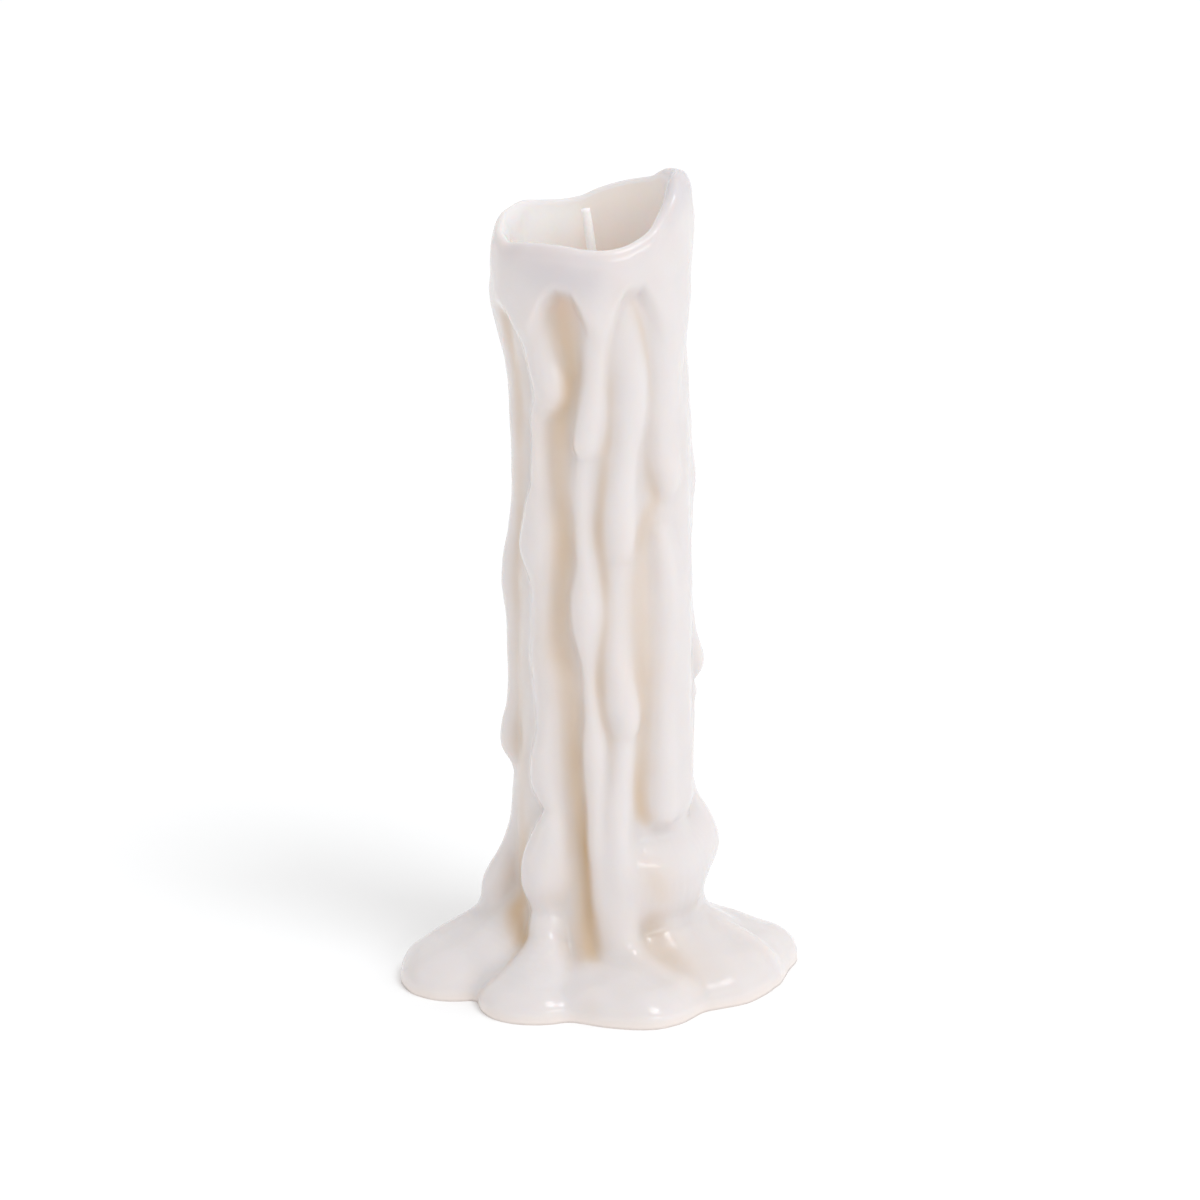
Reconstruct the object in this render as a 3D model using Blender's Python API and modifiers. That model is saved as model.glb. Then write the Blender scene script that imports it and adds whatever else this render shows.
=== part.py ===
"""Melted pillar candle, in metres with +Z up.

The candle is one solid of wax and a wick. The wax is a turned blank (cup, rim, pillar, puddle foot and
wick channel) whose outer skin is then moved out on to the drips that have run down it and the lobes
that they spread into on the table. Angles are in degrees, 0 at the front (-Y) and 90 at +X. Lengths in
the lists are in millimetres, and MM turns them into metres.
"""

import math

import bpy
import numpy as np

MM = 0.001
OBJECT_NAME = "melted_candle"

# Driving dimensions, in millimetres.
CHANNEL_RADIUS = 1.35
WICK_RADIUS = 1.05
CUP_FLOOR_HEIGHT = 184.0
CUP_RADIUS = 19.6
CUP_FILLET = 5.0
CUP_FLOOR_RISE = 0.9
CUP_FLOOR_RISE_WIDTH = 2.2
LOWEST_RIM = 204.0
BLANK_ROUNDING = 2.2
BLANK_WALL = 4.2
WALL_TAPER_POWER = 1.4
PILLAR_FOOT_HEIGHT = 46.0
PILLAR_GUIDE_RADIUS = 24.5
FOOT_GUIDE_RADIUS = 54.0
FOOT_EDGE_HEIGHT = 2.6
PUDDLE_RADIUS = 43.0
PUDDLE_THICKNESS = 8.5
LOBE_AXIS_HEIGHT = 1.0

# How round the wax flows together where two runs meet, in millimetres.
DRIP_FILLET = 2.8
LOBE_FILLET = 6.5
GROUP_FILLET = 3.2
FOOT_FILLET = 4.0
BOWL_FILLET = 4.5
APRON_FILLET = 6.0

# Fineness of the mesh.
AROUND = 96
PILLAR_ROWS = 24
FOOT_ROWS = 10
WALL_ROWS = 4
RIM_ROWS = 3
WICK_BEVEL_RESOLUTION = 4
SETTLING_STEPS = 40
SETTLING_RATE = 0.85
SETTLING_LIMIT = 4.0
REACH = 9.0

# The pillar has slumped sideways: (height, offset along X).
LEAN = [(0, 0.6), (110, 0.5), (150, 0.15), (168, -0.4), (180, -1.4), (192, -2.4), (206, -1.8), (230, -1.2)]

# Radius of the wax in the deepest recess at each height.
RECESS = [(0, 26.4), (8, 26.0), (16, 24.8), (28, 23.2), (45, 22.2), (60, 22.0), (230, 22.0)]

# How far the plain wax stands out from the deepest recess: (angle, distance).
SHEET = [
    (-180, 0.6), (-120, 0.4), (-92, 1.0), (-76, 1.0), (-60, 0.7), (-46, 0.2), (-30, 0.0), (-14, -0.1),
    (-4, 0.8), (4, 1.2),
    (12, 1.0), (20, 0.8), (28, 0.7), (36, 0.8), (42, 1.4), (49, 2.3), (57, 2.8), (72, 1.9), (92, 0.6),
    (110, 0.6), (150, 0.6),
]

# The smooth collar under the rim: (height, radius), and its lower edge as (angle, height, slope length).
COLLAR = [(0, 26.3), (190, 26.3), (200, 26.5), (206, 26.3), (212, 25.8), (217, 25.0), (223, 23.8), (230, 22.0)]
COLLAR_EDGE = [
    (-180, 186, 12), (-150, 180, 12), (-120, 188, 12), (-106, 184, 20), (-96, 183, 22), (-87, 186, 10),
    (-77, 188, 7), (-68, 188.5, 6.5), (-60, 187, 7), (-52, 184, 9), (-43, 184, 11), (-34, 189, 9),
    (-28, 193.5, 7), (-20, 196, 6), (-13, 195.5, 6), (-7, 192.5, 8), (-1, 188, 11), (5, 186, 13),
    (10, 188.5, 12), (16, 193, 9), (22, 196, 7), (31, 196.5, 7), (37, 194, 9), (46, 189, 14),
    (58, 186, 18), (90, 190, 17), (120, 188, 14), (150, 178, 12),
]

# Height of the rim: (angle, height). It is lowest in front and rises to a tip on the right.
RIM = [
    (-172, 207.5), (-160, 206.9), (-148, 207.3), (-132, 208.2), (-116, 207.8), (-100, 206.6), (-82, 204.9),
    (-64, 204), (-47, 205.2), (-30, 205.9), (-17, 205.8), (-5, 205.1), (7, 204.9), (18, 205.4),
    (29, 206.9), (39, 209.2), (47, 212.2), (54, 215.2), (61, 217.9), (70, 219.9), (80, 220.6),
    (92, 220.3), (104, 219.3), (116, 218.5), (126, 217.6), (134, 216.1), (141, 214.4), (151, 213.2),
    (164, 211.7), (177, 209.7),
]

# The cup's wall at the rim: (angle, thickness, height of its rounding).
RIM_WALL = [
    (-175, 1.9, 1.3), (-140, 2.6, 2.4), (-105, 5.0, 6.4), (-80, 5.0, 6.4), (-50, 4.4, 5.4), (-20, 4.2, 5.0),
    (15, 4.4, 5.2), (36, 4.6, 5.0), (50, 5.0, 5.0), (66, 6.0, 6.2), (82, 6.8, 7.2), (100, 6.2, 6.4),
    (120, 4.0, 3.4), (142, 2.2, 1.6), (160, 1.9, 1.3),
]

# Drips that have run down the pillar, each from its top: (height, angle, half width, stand-out).
DRIPS = {
    "left": [
        (188, -92, 6.5, 3.8), (180, -92, 6, 3.4), (172, -92, 5, 2.4), (164, -87, 4.4, 1.7),
        (156, -79, 4.4, 1.6), (148, -75, 4.6, 1.8), (138, -77, 4.3, 1.8), (130, -81, 4, 2),
        (124, -85, 4, 2.8), (115, -88, 4.4, 4.2), (108.5, -89, 4.6, 4.6), (101, -88, 4.2, 3.7),
        (92, -88, 3.8, 3.2), (80, -89, 3.8, 3.2), (74, -89, 3.8, 3.8), (69, -89, 4.2, 5),
        (64, -89, 4.4, 5.0), (60, -89, 3.4, 2.8), (56, -89, 3.2, 1.2), (50, -89, 3.2, 1.5),
        (42, -89, 3.4, 2.2), (36, -88, 4.2, 3.6), (31, -87, 4.8, 5.6), (27, -86, 5.2, 7.6),
        (23, -86, 5.2, 8.6), (19, -86, 5, 8.2),
    ],
    "front_left": [
        (192, -44, 6, 4), (184, -43.5, 5.2, 3.8), (177, -40, 4.9, 3.8), (170, -36, 4.9, 4.3),
        (165.5, -34.3, 4.9, 4.2), (162, -38.5, 3.2, 3.2), (157, -44, 2, 2.8), (147, -45, 1.9, 2.8),
        (139, -45, 2.8, 3), (133, -46, 4.4, 3.8), (127, -47, 5.8, 4.4), (122, -48, 6.3, 4.6),
        (117, -47, 4.6, 3.4), (112, -45, 3, 2.3), (104, -45, 2.7, 1.9), (98, -44.5, 3.4, 2.5),
        (92, -42, 4.8, 3.3), (87, -40.5, 4.8, 3.2), (80, -40, 3.8, 2.6), (72, -40, 3.8, 2.8),
        (65, -41, 4.8, 3.7), (59, -41.5, 5, 3.9), (55, -38, 3.8, 3.4), (51, -34, 2.6, 3),
        (47, -34.5, 3.6, 4.2), (42, -37, 5.6, 5.8), (36, -39, 6.9, 7.2), (31, -39, 6.9, 7.2),
        (27, -38, 5.6, 5.8), (23, -36.5, 4.6, 4.6), (19, -35, 4.4, 4.8),
    ],
    "front": [
        (198, 8, 5, 4), (191, 5, 3.4, 3.8), (184, 2.5, 2.6, 3.5), (176, 0, 2.6, 3.4),
        (170, -2.5, 2.9, 3.6), (164, -5, 3.4, 4), (157, -7.5, 3.8, 4.4), (152.5, -8.8, 3.3, 4.2),
        (149.5, -9.5, 2.2, 2.6), (143, -11.5, 2.1, 1.9), (134, -12.8, 2, 2), (125, -12, 1.8, 2),
        (120, -11, 2, 2.4), (115, -10.5, 3.2, 3.6), (109, -10.6, 4.2, 4.4), (103, -10.2, 4.1, 4.2),
        (97, -9.4, 2.6, 3), (92, -8.6, 1.6, 2.2), (86, -7.4, 1.5, 2.2), (79, -6, 2, 2.8),
        (72, -4.5, 2.8, 3.5),
        (65, -4.4, 3, 3.8), (58, -4.2, 2.5, 3.3), (50, -3.8, 2.2, 3.2), (42, -2.4, 2.4, 3.6),
        (34, -0.5, 2.8, 3.8), (27, 2, 3.3, 3.9), (20, 4.5, 3.8, 4.2), (14, 7, 4, 4),
    ],
    "front_right": [
        (190, 22, 5.6, 1), (183, 22, 5.6, 1.5), (176, 22.5, 5.2, 2.3), (169, 22.5, 5, 3.2),
        (162, 21, 4.6, 3.7), (155, 19, 3.9, 3.5), (149, 17, 3.3, 3), (143, 14.5, 3.9, 3.4),
        (136, 12.5, 4.2, 3.9), (129, 12, 4.3, 4.5), (124.5, 12, 3.6, 4.1), (120.5, 11.4, 2.4, 2.2),
        (113, 11, 2.2, 1.4), (103, 11, 2.4, 1.5), (95, 10.5, 3, 2.6), (88, 11.6, 4, 3.8),
        (81, 14, 4.5, 4.5), (76, 15.4, 4, 4.4), (72, 14.6, 3, 3.2), (66, 13, 2.9, 3),
        (55, 11.3, 3, 3.2), (46, 10.6, 3.2, 3.7), (38, 10.6, 3.6, 4.3), (30, 10.4, 3.8, 4.6),
        (24, 10.4, 3.8, 4.6), (18, 11.5, 3.8, 4.4),
    ],
    "short": [
        (196, 50, 6, 4), (184, 52, 5.8, 4), (173, 51, 5.4, 3.7), (163, 46.5, 4.2, 3.4),
        (154, 45, 3.9, 3.8), (146, 46, 4, 4.4), (142, 47.5, 3.6, 4.4), (139.5, 48, 2.8, 3.8),
    ],
    "long": [
        (127, 42.5, 1.8, 2.0), (122, 45, 2.8, 2.8), (116, 47, 3.4, 3.1), (108, 48, 3.8, 3.3),
        (94, 49, 4.0, 3.4), (80, 48.6, 4.2, 3.7), (70, 47, 4.6, 4.1), (62, 45.8, 5.0, 4.6),
        (56, 45, 5.2, 4.9), (50, 44.4, 4.6, 4.9),
    ],
    "right_sheet": [
        (156, 68, 4.5, 2.0), (130, 67, 6, 2.0), (100, 66, 6.5, 2.7), (70, 64, 7, 3.4), (52, 63, 7, 4.2),
    ],
    "right": [
        (188, 94, 7, 2.0), (178, 92, 6, 1.2), (168, 91, 5.5, 1.0), (158, 90, 5, 1.1), (148, 89, 4.8, 1.8),
        (138, 88, 4.6, 2.9), (131, 88, 3.8, 2.1), (123.5, 88, 3.6, 1.6), (116.5, 89, 3.6, 0.6),
        (108, 90, 3.6, 1.2), (99, 90, 3.6, 2.2), (94, 89, 3.4, 3.2), (90, 88, 3.2, 4.6),
        (87.5, 88, 3, 5.2), (85, 88, 2.4, 4.4), (82.8, 88, 1.7, 2.8), (81.3, 88, 1.6, 2.2),
        (79.5, 88, 1.8, 2.8), (78, 88, 2, 3.3), (75.5, 88, 2.2, 2.6), (66, 90, 4, 2.8),
        (56, 92, 4.6, 2.6), (48, 92, 5.4, 3.6), (42, 91, 6.2, 6.4), (36, 91, 6.4, 8.0),
    ],
    "back_right": [
        (190, 120, 5, 3.8), (175, 122, 3.2, 3.4), (160, 119, 3.4, 3.8), (150, 118, 4.4, 4.4),
        (140, 120, 2.2, 2.8), (112, 124, 3, 3.2), (98, 123, 4.4, 4.4), (86, 121, 2.4, 2.8),
        (60, 122, 3.4, 3.4), (44, 122, 4.6, 4.6), (30, 122, 4.8, 6),
    ],
    "back_inner_right": [
        (190, 150, 5, 3.8), (172, 152, 4.2, 4.2), (162, 152, 4.4, 4.4), (152, 155, 2.2, 2.6),
        (126, 154, 3.2, 3.2), (110, 152, 4.6, 4.4), (100, 153, 2.2, 2.6), (76, 156, 3.2, 3.4),
        (62, 156, 4.6, 4.4), (52, 156, 2.6, 3), (32, 155, 4.6, 6),
    ],
    "back": [
        (190, -176, 5, 3.8), (178, -176, 3, 3.4), (150, -173, 3.2, 3.4), (132, -172, 4.6, 4.6),
        (121, -173, 2.6, 3), (92, -175, 3.2, 3.4), (76, -174, 4.8, 4.6), (64, -174, 2.6, 3),
        (34, -176, 5, 6),
    ],
    "back_inner_left": [
        (190, -150, 5, 3.8), (168, -148, 4.2, 4.2), (156, -147, 2.4, 2.8), (140, -146, 3, 3),
        (124, -147, 4.6, 4.4), (110, -148, 2.4, 2.8), (86, -147, 3.4, 3.4), (72, -146, 4.4, 4.4),
        (56, -147, 2.6, 3), (34, -148, 5, 6),
    ],
    "back_left": [
        (190, -128, 5, 3.8), (172, -126, 3, 3), (152, -124, 4.4, 4.2), (142, -124, 2.6, 2.8),
        (116, -122, 3, 3.2), (98, -121, 4.4, 4.2), (86, -121, 2.4, 2.8), (64, -122, 4, 4),
        (48, -122, 3.4, 3.8), (32, -120, 5, 6),
    ],
}

# Each lobe of the foot from the pillar outwards: (distance from the axis, angle, half width, height).
# The lobes of a group run together, and each group lies against the next with a crease.
LOBES = {
    "left": [
        [(18, -88, 10, 24), (28, -87, 11, 18.8), (36, -84, 12, 14.2), (41, -80, 13, 11), (42, -74, 13, 9)],
        [(20, -68, 8.5, 25), (28, -66, 9.5, 19), (35, -65, 10.5, 14.2), (42.5, -66, 11.3, 10)],
        [(20, -55, 6.5, 23), (25, -54, 7, 17.5), (31, -54, 7.5, 12.5)],
        [(18, -114, 9, 18), (27, -114, 10.5, 12.5), (34, -113, 12, 8)],
    ],
    "front_left": [
        [(17, -38, 7, 25), (22, -35, 7.2, 23), (26.5, -32, 8.2, 20), (31, -29, 11.5, 15.5),
         (35.8, -29, 15, 10)],
    ],
    "front": [
        [(21, -8, 4.5, 19), (26, -8, 6, 14.5), (31, -5, 8, 11.5), (35, -3, 10, 9)],
        [(26, 16, 7, 15), (31, 16, 11, 12.5), (36, 17, 15.5, 9.8)],
        [(16, 44, 14, 24), (20, 44, 14, 22), (25, 44, 14, 17.5), (30, 46, 13.5, 13.2), (33, 49, 12.8, 10)],
        [(30, 57, 12, 12.5), (36.5, 57, 12.8, 9.4)],
        [(22, 67, 10, 20), (29, 67, 11, 15.5), (36, 66, 12.5, 11.5)],
        [(20, 77, 9.5, 23), (28, 78, 11, 18), (38, 78, 12.5, 12)],
        [(18, 98, 9.5, 20.5), (26, 99, 11, 16.8), (33, 98, 12, 13.8), (41, 96, 13, 10.4)],
        [(18, 124, 9, 15), (27, 124, 10.5, 11), (35, 124, 12.5, 7.6)],
    ],
    "curl": [
        [(23, 10.5, 3.8, 27), (26, 11, 3.8, 21.5), (29, 14.5, 4, 16.5), (32, 20.5, 4.8, 12.8),
         (36, 26, 6, 10.4), (40, 30, 6.5, 9.2)],
    ],
    "thin_drop": [
        [(34, 71, 2.6, 16.2), (42, 72, 3, 12.8), (47, 72, 2.4, 9.2)],
    ],
    "back": [
        [(20, 172, 10, 20), (29, 172, 12, 13), (36.5, 172, 14, 7.6)],
    ],
    "back_left": [
        [(20, -152, 10, 20), (29, -152, 12, 13), (36, -150, 13, 7.6)],
    ],
}

# The thick roll of wax on the right, above the foot: (angle, height, distance from the axis, radius).
BOWL = [
    (14, 34, 19.6, 5.5), (24, 34, 19.4, 7.8), (40, 33.5, 19.8, 8.8), (56, 33.5, 21.2, 9.2),
    (68, 34.5, 22.4, 9.0), (80, 35.5, 22.6, 8.6), (92, 35.5, 22.6, 8.4), (103, 35, 22.3, 7.6),
    (112, 34, 21.6, 6.0),
]

# The thick apron under the roll, the same way.
APRON = [
    (18, 27, 19.0, 6.0), (28, 27, 19.6, 8.0), (42, 27, 20.0, 8.8), (56, 27, 20.6, 8.6),
    (72, 26.5, 20.6, 7.4), (92, 25, 20.4, 6.8), (112, 22, 19.5, 5.4),
]

# The foot's guide: (share of the way from the pillar to the edge, height, tilt of the normal).
FOOT_GUIDE = [
    (0.00, 46.0, 0), (0.06, 34.0, 9), (0.10, 28.5, 16), (0.15, 23.5, 27), (0.22, 18.5, 40),
    (0.32, 14.2, 51), (0.45, 11.0, 60), (0.60, 8.8, 66), (0.74, 7.4, 68), (0.86, 6.3, 64),
    (0.94, 5.2, 48), (0.985, 3.9, 25), (1.0, FOOT_EDGE_HEIGHT, 0),
]
UNDERCUT_HEIGHTS = (1.0, 0.0)

# The wick's middle line: (offset along X, height). It is straight in the wax and leans in the cup.
WICK_LINE = [
    (0.0, 0.5), (0.0, 60.0), (0.0, 120.0), (0.0, 180.0), (0.0, 186.0), (-0.3, 188.0), (-1.0, 192.0),
    (-1.65, 196.0), (-2.3, 200.0), (-3.0, 205.0), (-3.8, 210.0),
]


def clear_scene():
    for thing in list(bpy.data.objects):
        bpy.data.objects.remove(thing, do_unlink=True)


def new_collection(name):
    collection = bpy.data.collections.new(name)
    bpy.context.scene.collection.children.link(collection)
    return collection


def material(name, colour, roughness, subsurface):
    made = bpy.data.materials.new(name)
    made.use_nodes = True
    shader = made.node_tree.nodes["Principled BSDF"]
    shader.inputs["Base Color"].default_value = (*colour, 1.0)
    shader.inputs["Roughness"].default_value = roughness
    shader.inputs["Metallic"].default_value = 0.0
    shader.inputs["Subsurface Weight"].default_value = subsurface
    return made


def curve_slopes(at, values):
    """Slope at each point: the harmonic mean of its two neighbours, or 0 at a turning point."""
    steps = np.diff(values) / np.diff(at)
    product = steps[1:] * steps[:-1]
    total = np.where(product > 0, steps[1:] + steps[:-1], 1.0)
    inner = np.where(product > 0, 2 * product / total, 0.0)
    return np.concatenate([steps[:1], inner, steps[-1:]])


def smooth_curve(points, where, column=1):
    """A smooth curve through points of (position, value), which never overshoots them."""
    table = np.array(points, float)
    at, values = table[:, 0], table[:, column]
    slopes = curve_slopes(at, values)
    where = np.clip(where, at[0], at[-1])
    cell = np.clip(np.searchsorted(at, where) - 1, 0, len(at) - 2)
    width = at[cell + 1] - at[cell]
    t = (where - at[cell]) / width
    start = (1 + 2 * t) * (1 - t) ** 2 * values[cell] + t * (1 - t) ** 2 * width * slopes[cell]
    end = t * t * (3 - 2 * t) * values[cell + 1] + t * t * (t - 1) * width * slopes[cell + 1]
    return start + end


def ring_curve(points, angle, column=1):
    """smooth_curve on the full circle, with its points repeated a turn before and a turn after."""
    table = np.array(points, float)
    turn = np.zeros_like(table)
    turn[:, 0] = 360.0
    return smooth_curve(np.concatenate([table - turn, table, table + turn]), angle, column)


def along_path(points, per_step=4):
    """The points of a path with per_step points between each two, on a curve with even slopes."""
    table = np.array(points, float)
    where = np.linspace(0, len(table) - 1, (len(table) - 1) * per_step + 1)
    slopes = np.gradient(table, axis=0)
    cell = np.clip(where.astype(int), 0, len(table) - 2)
    t = (where - cell)[:, None]
    start = (1 + 2 * t) * (1 - t) ** 2 * table[cell] + t * (1 - t) ** 2 * slopes[cell]
    end = t * t * (3 - 2 * t) * table[cell + 1] + t * t * (t - 1) * slopes[cell + 1]
    return start + end


def smooth_union(first, second, fillet):
    """The nearer of two surfaces, with a fillet where they meet."""
    blend = np.clip(0.5 + 0.5 * (second - first) / fillet, 0, 1)
    return second * (1 - blend) + first * blend - fillet * blend * (1 - blend)


def at_angle(radius, angle):
    """X and Y of points at this distance from the axis, with angle 0 towards -Y."""
    turn = np.radians(angle)
    return radius * np.sin(turn), -radius * np.cos(turn)


def drip_balls(path):
    """Balls (x, y, z, radius) whose chain stands out from the recess by the drip's height and width."""
    height, angle, half_width, stand_out = along_path(path).T
    radius = (half_width**2 + stand_out**2) / (2 * stand_out)
    x, y = at_angle(smooth_curve(RECESS, height) + stand_out - radius, angle)
    return np.stack([x + smooth_curve(LEAN, height), y, height, radius], axis=1)


def ring_balls(path):
    """Balls set round the axis at the given angles, heights and distances."""
    angle, height, distance, radius = along_path(path).T
    x, y = at_angle(distance, angle)
    return np.stack([x, y, height, radius], axis=1)


def chain_distance(points, balls):
    """Distance from each point to a chain of balls joined by straight cones."""
    nearest = np.full(len(points), np.inf)
    for start, end in zip(balls[:-1], balls[1:]):
        axis = end[:3] - start[:3]
        offset = points - start[:3]
        share = np.clip(offset @ axis / (axis @ axis), 0, 1)
        gap = np.linalg.norm(offset - share[:, None] * axis, axis=1)
        nearest = np.minimum(nearest, gap - (start[3] + share * (end[3] - start[3])))
    return nearest


def dome_distance(across, up, half_width, height):
    """Distance to a flattened dome, from the distance across it and the height above its base."""
    scaled = np.sqrt((across / half_width) ** 2 + (up / height) ** 2)
    slope = np.sqrt((across / half_width**2) ** 2 + (up / height**2) ** 2) + 1e-9
    return scaled * (scaled - 1) / slope


def lobe_distance(points, path):
    """Distance to one lobe of the foot: a dome carried along the lobe's middle line."""
    distance, angle, half_width, height = along_path(path).T
    centres = np.stack(at_angle(distance, angle), axis=1)
    nearest = np.full(len(points), np.inf)
    for i in range(len(centres) - 1):
        axis = centres[i + 1] - centres[i]
        offset = points[:, :2] - centres[i]
        share = np.clip(offset @ axis / (axis @ axis), 0, 1)
        across = np.linalg.norm(offset - share[:, None] * axis, axis=1)
        width = half_width[i] + share * (half_width[i + 1] - half_width[i])
        tall = height[i] + share * (height[i + 1] - height[i]) - LOBE_AXIS_HEIGHT
        dome = dome_distance(across, points[:, 2] - LOBE_AXIS_HEIGHT, width, tall)
        nearest = np.minimum(nearest, dome)
    return nearest


def pillar_distance(points):
    """Distance to the plain pillar and its collar, before any drip."""
    height = points[:, 2]
    x = points[:, 0] - smooth_curve(LEAN, height)
    angle = np.degrees(np.arctan2(x, -points[:, 1]))
    edge = ring_curve(COLLAR_EDGE, angle)
    slope_length = ring_curve(COLLAR_EDGE, angle, column=2)
    sheet = ring_curve(SHEET, angle) * np.clip((height - 18) / 20, 0, 1)
    below = smooth_curve(RECESS, height) + sheet
    rise = np.clip((height - edge + slope_length) / slope_length, 0, 1)
    share = rise * rise * (3 - 2 * rise)
    return np.hypot(x, points[:, 1]) - (below + (smooth_curve(COLLAR, height) - below) * share)


def wax_distance(points):
    """Distance from each point to the outer skin of the wax, negative inside it."""
    wax = pillar_distance(points)
    for path in DRIPS.values():
        wax = smooth_union(wax, chain_distance(points, drip_balls(path)), DRIP_FILLET)
    from_axis = np.hypot(points[:, 0], points[:, 1])
    above = points[:, 2] - LOBE_AXIS_HEIGHT
    foot = dome_distance(from_axis, above, PUDDLE_RADIUS, PUDDLE_THICKNESS - LOBE_AXIS_HEIGHT)
    for paths in LOBES.values():
        group = lobe_distance(points, paths[0])
        for path in paths[1:]:
            group = smooth_union(group, lobe_distance(points, path), LOBE_FILLET)
        foot = smooth_union(foot, group, GROUP_FILLET)
    wax = smooth_union(wax, foot, FOOT_FILLET)
    wax = smooth_union(wax, chain_distance(points, ring_balls(BOWL)), BOWL_FILLET)
    return smooth_union(wax, chain_distance(points, ring_balls(APRON)), APRON_FILLET)


def settle(radius, height, tilt, angle):
    """Slides guide points along their normals until they lie on the wax."""
    turn = np.radians(angle)
    lift = np.radians(tilt)
    normal = np.stack(
        [np.cos(lift) * np.sin(turn), -np.cos(lift) * np.cos(turn), np.sin(lift) + 0 * turn], axis=1
    )
    x, y = at_angle(radius, angle)
    start = np.stack([x, y, height + 0 * x], axis=1) + REACH * normal
    travelled = np.zeros(len(start))
    for _ in range(SETTLING_STEPS):
        step = SETTLING_RATE * wax_distance(start - travelled[:, None] * normal)
        travelled += np.clip(step, -SETTLING_LIMIT, SETTLING_LIMIT)
    return start - travelled[:, None] * normal


def blank_profile():
    """The turned blank: rows of (radius, height, tilt of the normal), and the section of each row.

    It runs from the bottom of the wick channel up to the cup's floor, up the inside, over the rim, and
    down the outside to the foot and the flat underside.
    """
    rows = [(CHANNEL_RADIUS, 0.0, 0.0, "channel")]
    for radius in np.linspace(CHANNEL_RADIUS, CUP_RADIUS - CUP_FILLET, 5)[:-1]:
        rows.append((radius, CUP_FLOOR_HEIGHT, 90.0, "floor"))
    for turn in np.radians((90.0, 60.0, 30.0)):
        radius = CUP_RADIUS - CUP_FILLET * (1 - math.cos(turn))
        rows.append((radius, CUP_FLOOR_HEIGHT + CUP_FILLET * (1 - math.sin(turn)), 0.0, "floor"))
    inner_bottom = CUP_FLOOR_HEIGHT + CUP_FILLET
    top = LOWEST_RIM - BLANK_ROUNDING
    for share in np.linspace(0, 1, WALL_ROWS):
        rows.append((CUP_RADIUS, inner_bottom + share * (top - inner_bottom), share, "wall"))
    for turn in np.linspace(180, 0, RIM_ROWS + 2)[1:-1]:
        middle = CUP_RADIUS + BLANK_WALL / 2
        across = BLANK_WALL / 2 * math.cos(math.radians(turn))
        up = BLANK_ROUNDING * math.sin(math.radians(turn))
        rows.append((middle + across, top + up, turn, "rim"))
    for share in np.linspace(0, 1, PILLAR_ROWS):
        rows.append((PILLAR_GUIDE_RADIUS, top + share * (PILLAR_FOOT_HEIGHT - top), share, "pillar"))
    spread = FOOT_GUIDE_RADIUS - PILLAR_GUIDE_RADIUS
    run = np.array(FOOT_GUIDE, float)
    length = np.cumsum(np.hypot(np.diff(run[:, 0]) * spread, np.diff(run[:, 1])))
    run = np.column_stack([np.concatenate([[0.0], length]), run])
    for where in np.linspace(0, run[-1, 0], FOOT_ROWS + 1)[1:]:
        share, height, tilt = (float(smooth_curve(run, where, column)) for column in (1, 2, 3))
        rows.append((PILLAR_GUIDE_RADIUS + share * spread, height, tilt, "foot"))
    for height in UNDERCUT_HEIGHTS:
        rows.append((FOOT_GUIDE_RADIUS, height, 0.0, "foot"))
    rows.append((FOOT_GUIDE_RADIUS / 2, 0.0, 0.0, "underside"))
    return rows


def turned_blank(rows, wax):
    """The profile turned about Z with a Screw modifier, which is then applied."""
    mesh = bpy.data.meshes.new("profile")
    points = [(radius * MM, 0.0, height * MM) for radius, height, _, _ in rows]
    loop = [(i, (i + 1) % len(points)) for i in range(len(points))]
    mesh.from_pydata(points, loop, [])
    profile = bpy.data.objects.new("profile", mesh)
    bpy.context.scene.collection.objects.link(profile)
    screw = profile.modifiers.new("turn", "SCREW")
    screw.steps = AROUND
    screw.render_steps = AROUND
    screw.use_merge_vertices = True
    screw.merge_threshold = 0.00001
    screw.use_smooth_shade = True
    graph = bpy.context.evaluated_depsgraph_get()
    turned = bpy.data.meshes.new_from_object(profile.evaluated_get(graph))
    bpy.data.objects.remove(profile, do_unlink=True)
    bpy.data.meshes.remove(mesh)
    turned.materials.append(wax)
    return turned


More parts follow.
